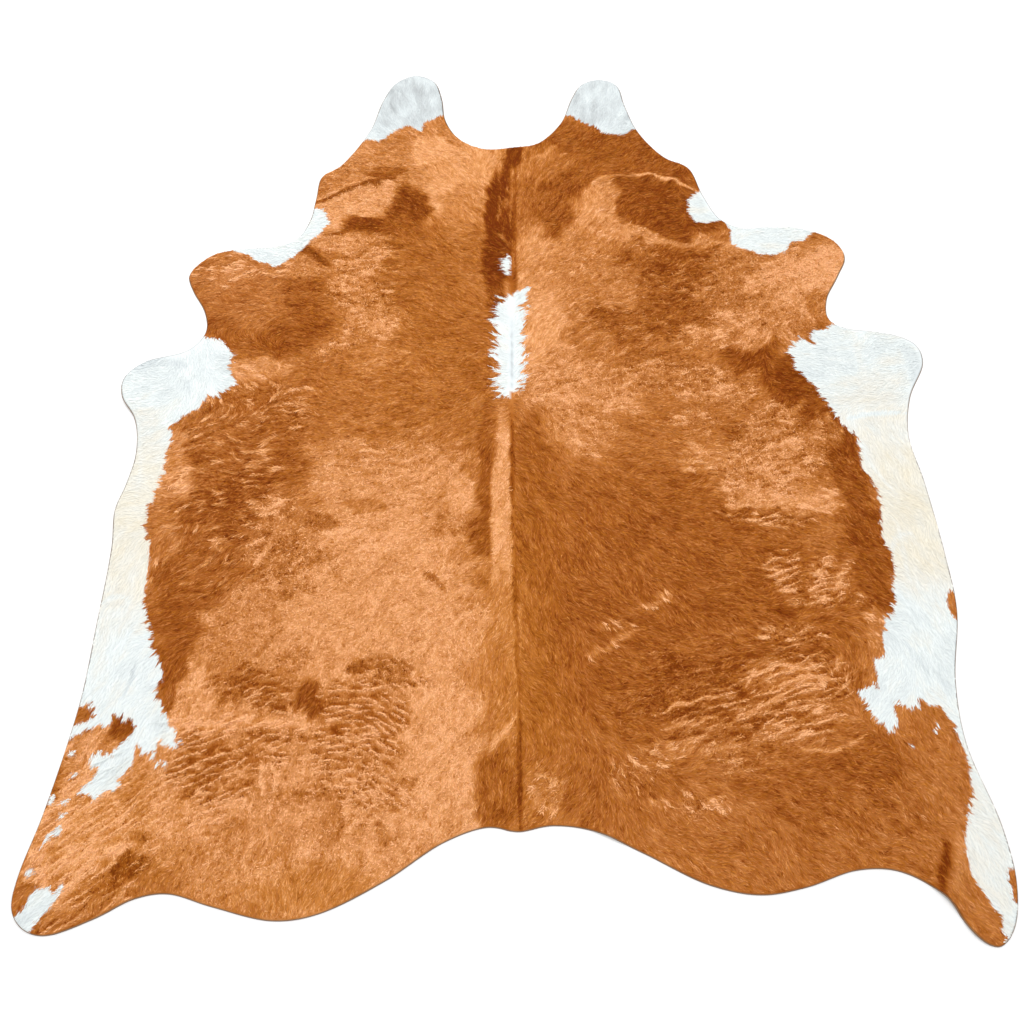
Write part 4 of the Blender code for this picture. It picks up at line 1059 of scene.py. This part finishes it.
def draw_lines(canvas, table):
    """Draws bent lines on the canvas, each fading out at twice its half width."""
    for _, start_x, start_y, bend_x, bend_y, end_x, end_y, half_width, value, strength in table:
        nearest = np.full_like(over_x, 9.0)
        for t in np.linspace(0.0, 1.0, LINE_PARTS):
            x = (1 - t) ** 2 * start_x + 2 * t * (1 - t) * bend_x + t * t * end_x
            y = (1 - t) ** 2 * start_y + 2 * t * (1 - t) * bend_y + t * t * end_y
            width = half_width * (0.35 + 2.6 * t * (1 - t))
            rows = slice(*np.searchsorted(canvas_y, (y - LINE_REACH, y + LINE_REACH)))
            columns = slice(*np.searchsorted(canvas_x, (x - LINE_REACH, x + LINE_REACH)))
            apart = np.hypot(over_x[rows, columns] - x, over_y[rows, columns] - y) / width
            nearest[rows, columns] = np.minimum(nearest[rows, columns], apart)
        canvas += strength * np.clip(2.0 - nearest, 0.0, 1.0) * (value - canvas)


LINE_STRAY = 0.4  # lines stray by this share of what borders do
over_x += LINE_STRAY * stray_x
over_y += LINE_STRAY * stray_y
draw_lines(tone, LINES)
over_x -= LINE_STRAY * stray_x
over_y -= LINE_STRAY * stray_y
tone = np.clip(tone, 0.0, 1.0)

# Where the brown turns golden: place, x, y, half width, half height, turn, share.
GOLD = (
    ("whole hide", 0.0, 1.0, 3.0, 3.0, 0, 0.35),
    ("left foreleg", -0.74, 1.38, 0.16, 0.14, 0, 0.1),
    ("left shoulder", -0.25, 1.3, 0.22, 0.4, 0, 0.55),
    ("spine, low", 0.02, 0.4, 0.1, 0.4, 0, 0.8),
    ("right loin", 0.35, 0.5, 0.25, 0.3, 0, 0.3),
    ("left flank", -0.7, 0.75, 0.18, 0.3, 0, 0.2),
    ("left thigh", -0.86, 0.0, 0.18, 0.16, 0, 0.75),
    ("left rump rim", -0.42, -0.12, 0.2, 0.06, 0, 0.85),
    ("right rump", 0.6, 0.05, 0.35, 0.16, 0, 0.25),
    ("neck", 0.0, 1.85, 0.3, 0.1, 0, 0.5),
)
# The shade of the white: the same columns, from 0 for grey through 0.5 for cool white to 1, cream.
WHITE_SHADES = (
    ("whole hide", 0.0, 1.0, 3.0, 3.0, 0, 0.5),
    ("left cheek", -0.32, 2.05, 0.2, 0.18, 0, 0.16),
    ("right cheek", 0.26, 2.05, 0.2, 0.18, 0, 0.2),
    ("left breast", -0.88, 1.1, 0.18, 0.14, 0, 0.42),
    ("left belly", -0.9, 0.68, 0.12, 0.28, 0, 0.86),
    ("left low belly", -0.86, 0.3, 0.16, 0.14, 0, 0.5),
    ("right breast", 0.9, 1.12, 0.2, 0.16, 0, 0.52),
    ("right breast, inner", 0.78, 1.12, 0.1, 0.1, 0, 0.44),
    ("right breast, low", 0.9, 1.03, 0.14, 0.1, 0, 0.66),
    ("right belly", 0.92, 0.72, 0.14, 0.26, 0, 0.9),
    ("right low belly", 0.9, 0.38, 0.14, 0.14, 0, 0.46),
    ("right shank", 0.96, 0.0, 0.08, 0.22, 0, 0.66),
)
gold, white_shade = np.zeros_like(over_x), np.zeros_like(over_x)
for canvas, table in ((gold, GOLD), (white_shade, WHITE_SHADES)):
    for _, x, y, half_x, half_y, turn, value in table:
        share = np.clip(1.4 - oval(x, y, half_x, half_y, turn), 0.0, 1.0)
        canvas += share * (value - canvas)
white_shade += 0.05 * broad_locks + 0.03 * strands
# Soft creases in the white hair, drawn grey as painted shade: place, start, bend, end, half width,
# shade, strength.
WHITE_LINES = (
    ("blaze parting", -0.016, 1.355, -0.014, 1.2, -0.013, 1.045, 0.0022, 0.0, 0.9),
    ("right breast, across", 0.823, 0.98, 0.908, 1.0, 0.975, 0.995, 0.0035, 0.12, 0.6),
    ("right breast, upright", 0.914, 1.134, 0.922, 1.092, 0.916, 1.05, 0.0045, 0.62, 0.6),
    ("right breast, top", 0.881, 1.116, 0.884, 1.18, 0.876, 1.239, 0.006, 0.66, 0.5),
    ("right breast, tip", 1.0, 1.19, 1.036, 1.152, 1.009, 1.077, 0.014, 0.16, 0.5),
    ("right flank", 0.843, 0.898, 0.867, 0.834, 0.912, 0.769, 0.003, 0.55, 0.5),
    ("right flank, swirl", 0.875, 0.609, 0.88, 0.672, 0.93, 0.668, 0.004, 0.55, 0.6),
    ("right belly", 0.9, 0.701, 0.904, 0.599, 0.901, 0.5, 0.004, 0.6, 0.5),
    ("right low belly", 0.869, 0.405, 0.883, 0.365, 0.907, 0.332, 0.0045, 0.14, 0.5),
    ("left breast, upper", -0.976, 1.128, -0.916, 1.165, -0.849, 1.134, 0.01, 0.08, 0.5),
    ("left flank", -0.945, 0.974, -0.905, 0.85, -0.914, 0.753, 0.0035, 0.55, 0.4),
    ("left belly", -0.869, 0.266, -0.846, 0.3, -0.846, 0.362, 0.0024, 0.0, 0.6),
    ("left belly, upper", -0.95, 0.488, -0.925, 0.524, -0.884, 0.5, 0.004, 0.4, 0.5),
)
draw_lines(white_shade, WHITE_LINES)
white_shade = np.clip(white_shade, 0.0, 1.0)

# --- Undercoat -------------------------------------------------------------------------------
# The short dense hair next to the skin: a felt of it 3.6 mm deep over the leather, rounded off at
# the rim, where a band of painted shade darkens it. It has the coat's markings, a little darker as
# painted shade between the lying locks, and shows between them.
COAT_RINGS = (
    (0.0046, 0.0024), (0.0024, 0.0026), (0.0018, 0.0036), (0.0022, 0.0047), (0.0036, 0.0056), (0.0055, 0.006)
)
COAT_TOP_STEP = 0.009
COAT_BOTTOM_STEP = 0.022
COAT_NAP = (260.0, 4.0, 0.6, 0.0012)  # lumps to a metre, detail, strength, depth
COAT_PAINTED_SHADE = (0.84, 0.84, 0.84, 1.0)  # the undercoat's colour as a share of the lying hair's: painted shade between the locks
# The colour of the painted shade along the rim, standing in for the shadow under its edge.
RIM_PAINTED_SHADE = (0.16, 0.15, 0.14, 1.0)
RIM_SOFTNESS = 0.004
RIM_SHADE_DEPTH = 0.88  # how far in the painted shade of the rim reaches, as the softened inside
RIM_SHADE_FADE = 0.1
TAIL_SHADE_LOSS = 0.8  # how much less painted shade the rim has where it faces the tail end


RED_BROWN = ((0.0, 114, 43, 2), (0.12, 142, 68, 12), (0.28, 172, 97, 38), (0.5, 201, 128, 68),
             (0.75, 230, 162, 105), (1.0, 253, 191, 140))
GOLD_BROWN = ((0.0, 116, 50, 1), (0.12, 143, 72, 8), (0.28, 173, 99, 27), (0.5, 201, 127, 56),
              (0.75, 229, 161, 98), (1.0, 252, 190, 134))
WHITES = ((0.0, 184, 189, 191), (0.25, 218, 225, 227), (0.5, 234, 240, 240), (0.7, 236, 235, 228),
          (1.0, 237, 230, 212))


def hair_colour(nodes, links, tone, gold, white):
    """The coat's colour from its tone, its share of gold and its share of white."""
    red_brown = ramp(nodes, links, tone, RED_BROWN)
    gold_brown = ramp(nodes, links, tone, GOLD_BROWN)
    brown = blended(nodes, links, "MIX", gold, red_brown, gold_brown)
    return blended(nodes, links, "MIX", white, brown, ramp(nodes, links, tone, WHITES))


coat_mesh, places = closed_sheet("coat", COAT_RINGS, COAT_TOP_STEP, COAT_BOTTOM_STEP)
spots = places[:, 0], places[:, 1]
seen_rim = np.stack((seen(rim[:, 0], CAMERA_ASIDE), seen(rim[:, 1], CAMERA_BACK)), axis=1)
inside = filled(seen_rim)
depth_in = softened(inside, RIM_SOFTNESS)  # 0.5 on the rim, and 1 well inside it
# Painted shade along the rim, standing in for the shadow under its edge, less where the rim faces the tail
# end.
painted_rim_shade = np.clip((RIM_SHADE_DEPTH - read(depth_in, *spots)) / RIM_SHADE_FADE, 0.0, 1.0)
painted_rim_shade *= np.clip(0.75 + 0.3 * read(grain(0.03), *spots), 0.2, 1.0)
climb_y, climb_x = np.gradient(depth_in)
tail_side = climb_y / (np.hypot(climb_x, climb_y) + 1e-9)  # 1 where the rim faces the tail end
painted_rim_shade *= 1.0 - TAIL_SHADE_LOSS * np.clip(read(tail_side, *spots), 0.0, 1.0)
in_white = read(white, *spots) > 0.5
coat_values = {
    "tone": np.where(in_white, read(white_shade, *spots), read(softened(tone, 0.003), *spots)),
    "gold": read(gold, *spots),
    "white": in_white,
    "painted_rim_shade": painted_rim_shade,
}
for name, values in coat_values.items():
    coat_mesh.attributes.new(name, "FLOAT", "POINT").data.foreach_set("value", values.astype(np.float32))
coat_material, nodes, links, shader = new_material("undercoat", 0.8, 0.05)
*shares, rim_shade_share = (kept_value(nodes, name) for name in coat_values)
colour = hair_colour(nodes, links, *shares)
# Painted shade: the dark band along the rim.
colour = blended(nodes, links, "MULTIPLY", rim_shade_share, colour, RIM_PAINTED_SHADE)
# Painted shade: the whole undercoat a little darker than the locks over it.
colour = blended(nodes, links, "MULTIPLY", 1.0, colour, COAT_PAINTED_SHADE)
links.new(colour, shader.inputs["Base Color"])
give_nap(nodes, links, shader, *COAT_NAP)
coat = new_piece("coat", coat_mesh, coat_material)
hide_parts("hide")

# --- Lying hair ------------------------------------------------------------------------------
# The top coat: small flat locks of hair, each rooted in the undercoat and lying along the hide,
# pointed at both ends. Where the coat is ruffled they are short, and lie along the crests.
LOCK_COUNT = 404_000
LOCK_LENGTH = 0.016
FINE_LENGTH = 0.0066  # in ruffled and curly hair
WHITE_LENGTH = 0.019
BLAZE_LENGTH = 0.028
LOCK_SPREAD = 0.2  # how much lengths differ
LOCK_WIDTH = 0.0019
FINE_LOSS = 0.08  # how much narrower a lock is in ruffled and curly hair
WIDTH_SPREAD = 0.2
LOCK_TURN = 0.18  # how far a lock strays from the lie, in radians
MOTTLE_TURN = 2.2  # how much further, in curly hair
LOCK_BOW = 0.05
LOCK_ROLL = 0.3  # how far it leans to a side, and the same in white hair
WHITE_ROLL = 0.12
LOCK_ROOT = 0.0052  # the root's height above the hide's underside
LOCK_RISE = 0.0019  # the height gained at the widest place
LOCK_DROP = 0.0005
CREST_HEIGHT = 0.0022
WIDEST = 0.42  # how far along it a lock is widest
BLAZE_REACH = 0.1  # white hair this near the spine is the blaze's
ON_LINE = 0.36  # the strength from which a crest, a vein or a wisp takes its locks along
TIP_DEPTH = 0.78  # how far inside the rim tips and roots stay, as the softened inside
ROOT_DEPTH = 0.84
HAIR_PIECES = ("rump_hair", "loin_hair", "back_hair", "shoulder_hair", "neck_hair")

fine = np.clip(ripple + 1.6 * mottle - 0.25, 0.0, 1.0) * (1.0 - white)
thick = 1.0 + 0.85 * fine - 0.2 * white
spacing = math.sqrt((inside * thick).sum() * CANVAS_STEP**2 / (thick.max() * LOCK_COUNT))
columns = np.arange(canvas_x[0], canvas_x[-1], spacing)
lines = np.arange(canvas_y[0], canvas_y[-1], spacing)
index_x, index_y = (axis.ravel() for axis in np.meshgrid(np.arange(len(columns)), np.arange(len(lines))))
root_x = columns[index_x] + spacing * (chance.random(index_x.size) - 0.5)
root_y = lines[index_y] + spacing * (chance.random(index_x.size) - 0.5)
even_share = (0.754877 * index_x + 0.56984 * index_y) % 1.0  # thins the net without clumps
keep = read(depth_in, root_x, root_y) > ROOT_DEPTH
keep &= even_share < read(thick, root_x, root_y) / thick.max()
root_x, root_y = root_x[keep], root_y[keep]
count = root_x.size


def spread(middle, share):
    """Each lock's own size about the middle one."""
    return middle * np.clip(1.0 + share * chance.standard_normal(count), 0.45, 1.6)


lock_fine = read(fine, root_x, root_y)
turn = LOCK_TURN * (1.0 + MOTTLE_TURN * read(mottle * (1.0 - white), root_x, root_y))
turn *= chance.standard_normal(count)
way_x, way_y = read(lie_x, root_x, root_y), read(lie_y, root_x, root_y)
# On a crest or a vein the locks lie along it, either way, and above the rest.
side = np.where(chance.random(count) < 0.5, -1.0, 1.0)
on_line = np.zeros(count, dtype=bool)
vein_share = mottle * (1.0 - white) * (small_vein + 0.3)
for canvas, strength in ((np.exp(1j * knots), vein_share), (waves, ripple * crest)):
    slopes = (np.imag(np.conj(canvas) * slope) for slope in np.gradient(canvas))
    climb_y, climb_x = (read(slope, root_x, root_y) for slope in slopes)
    size = np.hypot(climb_x, climb_y) + 1e-12
    here = read(strength, root_x, root_y) > ON_LINE
    way_x = np.where(here, -side * climb_y / size, way_x)
    way_y = np.where(here, side * climb_x / size, way_y)
    on_line |= here
on_line |= read(wisp * streak * (1.0 - white), root_x, root_y) > ON_LINE
way_x, way_y = way_x * np.cos(turn) - way_y * np.sin(turn), way_x * np.sin(turn) + way_y * np.cos(turn)

length = LOCK_LENGTH + (FINE_LENGTH - LOCK_LENGTH) * lock_fine
long_white = np.where(np.abs(root_x) < BLAZE_REACH, BLAZE_LENGTH, WHITE_LENGTH)
length = np.where(read(white, root_x, root_y) > 0.5, long_white, length)
length = spread(length, LOCK_SPREAD)
lock_white = read(white, root_x + 0.5 * way_x * length, root_y + 0.5 * way_y * length) > 0.5
# Locks that would reach over the rim are cut short.
for _ in range(5):
    outside = read(depth_in, root_x + way_x * length, root_y + way_y * length) < TIP_DEPTH
    length = np.where(outside, length * 0.66, length)
width = spread(LOCK_WIDTH * (1.0 - FINE_LOSS * lock_fine), WIDTH_SPREAD)

# The waves raise and lower the locks, and those on a line stand above the rest.
swell = CREST_HEIGHT * ripple * (crest - 0.5 * hollow)
lift = LOCK_RISE * np.clip(1.0 + 0.25 * chance.standard_normal(count), 0.5, 1.6 - 0.35 * lock_fine)
lift = np.where(on_line, LOCK_RISE * (1.65 + 0.3 * chance.random(count)), lift)
middle_x, middle_y = root_x + way_x * length * WIDEST, root_y + way_y * length * WIDEST
tip_x, tip_y = root_x + way_x * length, root_y + way_y * length
bow = LOCK_BOW * length * chance.standard_normal(count)
middle_x, middle_y = middle_x - way_y * bow, middle_y + way_x * bow
root_z = standing(root_x, root_y) + LOCK_ROOT + np.maximum(read(swell, root_x, root_y), -0.0004)
root_z += 0.7 * lift * on_line
middle_z = standing(middle_x, middle_y) + LOCK_ROOT + lift + read(swell, middle_x, middle_y)
tip_z = standing(tip_x, tip_y) + LOCK_ROOT + lift - LOCK_DROP + read(swell, tip_x, tip_y)
roll = np.where(lock_white, WHITE_ROLL, LOCK_ROLL) * chance.standard_normal(count)
roll = 0.5 * width * np.clip(roll, -1.0, 1.0)

corners = np.empty((count, 4, 3), dtype=np.float32)
corners[:, 0] = np.stack((root_x, root_y, root_z), axis=1)
aside_x, aside_y = way_y * width / 2.0, way_x * width / 2.0
corners[:, 1] = np.stack((middle_x + aside_x, middle_y - aside_y, middle_z - roll), axis=1)
corners[:, 2] = np.stack((tip_x, tip_y, tip_z), axis=1)
corners[:, 3] = np.stack((middle_x - aside_x, middle_y + aside_y, middle_z + roll), axis=1)
corners += np.array((SPINE_X, TAIL_Y, 0.0), dtype=np.float32)

# A lock's place on the colour map: its tone across, and its kind and length upwards.
TONE_SPREAD = 0.078
FINE_SPREAD = 0.03  # more of it in ruffled and curly hair
WHITE_SPREAD = 0.018
HALF_TONE = 0.004  # how far its two sides differ
ROOT_UP, TIP_UP, LOCK_UP = 0.06, 0.94, 0.88
# White locks start further along, so less of the painted root shade falls on them.
WHITE_ROOT_UP, WHITE_UP = 0.18, 0.8
kind = np.where(lock_white, 2.0, chance.random(count) < read(gold, root_x, root_y))
own = np.where(lock_white, WHITE_SPREAD, TONE_SPREAD + FINE_SPREAD * lock_fine)
own *= chance.standard_normal(count)
# A lock on a line has its root's tone all along, and a fine one nearly its middle's.
even = np.where(on_line, 1.0, 0.7 * lock_fine)
own_x = np.where(on_line, root_x, middle_x)
own_y = np.where(on_line, root_y, middle_y)
colour_map = np.empty((count, 4, 2), dtype=np.float32)
for k, x, y, across, up in (
    (0, root_x, root_y, 0.0, ROOT_UP),
    (1, middle_x, middle_y, HALF_TONE, ROOT_UP + LOCK_UP * WIDEST),
    (2, tip_x, tip_y, 0.0, TIP_UP),
    (3, middle_x, middle_y, -HALF_TONE, ROOT_UP + LOCK_UP * WIDEST),
):
    x, y = x + even * (own_x - x), y + even * (own_y - y)
    here = np.where(lock_white, read(white_shade, x, y), read(tone, x, y))
    colour_map[:, k, 0] = np.clip(here + own, 0.01, 0.99) + across
    colour_map[:, k, 1] = (kind + np.where(lock_white, WHITE_ROOT_UP + WHITE_UP * up, up)) / 3.0

# Each lock darkens towards its root: painted shade from the locks lying over it, none at the tip.
ROOT_PAINTED_SHADE = ((0.0, 206, 200, 196), (0.36, 246, 245, 243), (1.0, 255, 255, 255))
hair_material, nodes, links, shader = new_material("lying_hair", 0.55, 0.05)
own_map = nodes.new("ShaderNodeUVMap")
own_map.uv_map = "OFBake"
parts = nodes.new("ShaderNodeSeparateXYZ")
links.new(own_map.outputs["UV"], parts.inputs["Vector"])


def sum_node(nodes, links, operation, first, second):
    """A sum over a value, and a number where it takes two."""
    node = nodes.new("ShaderNodeMath")
    node.operation = operation
    links.new(first, node.inputs[0])
    node.inputs[1].default_value = second
    return node.outputs[0]


kinds = sum_node(nodes, links, "MULTIPLY", parts.outputs["Y"], 3.0)
is_gold = sum_node(nodes, links, "GREATER_THAN", kinds, 1.0)
is_white = sum_node(nodes, links, "GREATER_THAN", kinds, 2.0)
along = sum_node(nodes, links, "FRACT", kinds, 0.0)
colour = hair_colour(nodes, links, parts.outputs["X"], is_gold, is_white)
# Painted shade towards each lock's root.
colour = blended(nodes, links, "MULTIPLY", 1.0, colour, ramp(nodes, links, along, ROOT_PAINTED_SHADE))
links.new(colour, shader.inputs["Base Color"])

order = np.argsort(root_y, kind="stable")
triangles = np.array((0, 1, 3, 1, 2, 3))
for name, chosen in zip(HAIR_PIECES, np.array_split(order, len(HAIR_PIECES))):
    mesh = bpy.data.meshes.new(name)
    mesh.vertices.add(len(chosen) * 4)
    mesh.vertices.foreach_set("co", corners[chosen].ravel())
    index = (np.arange(len(chosen))[:, None] * 4 + triangles).astype(np.int32).ravel()
    mesh.loops.add(len(index))
    mesh.loops.foreach_set("vertex_index", index)
    mesh.polygons.add(len(index) // 3)
    mesh.polygons.foreach_set("loop_start", np.arange(0, len(index), 3, dtype=np.int32))
    mesh.update(calc_edges=True)
    layer = mesh.uv_layers.new(name="OFBake")
    layer.data.foreach_set("uv", colour_map[chosen].reshape(-1, 2)[index].ravel())
    new_piece(name, mesh, hair_material)
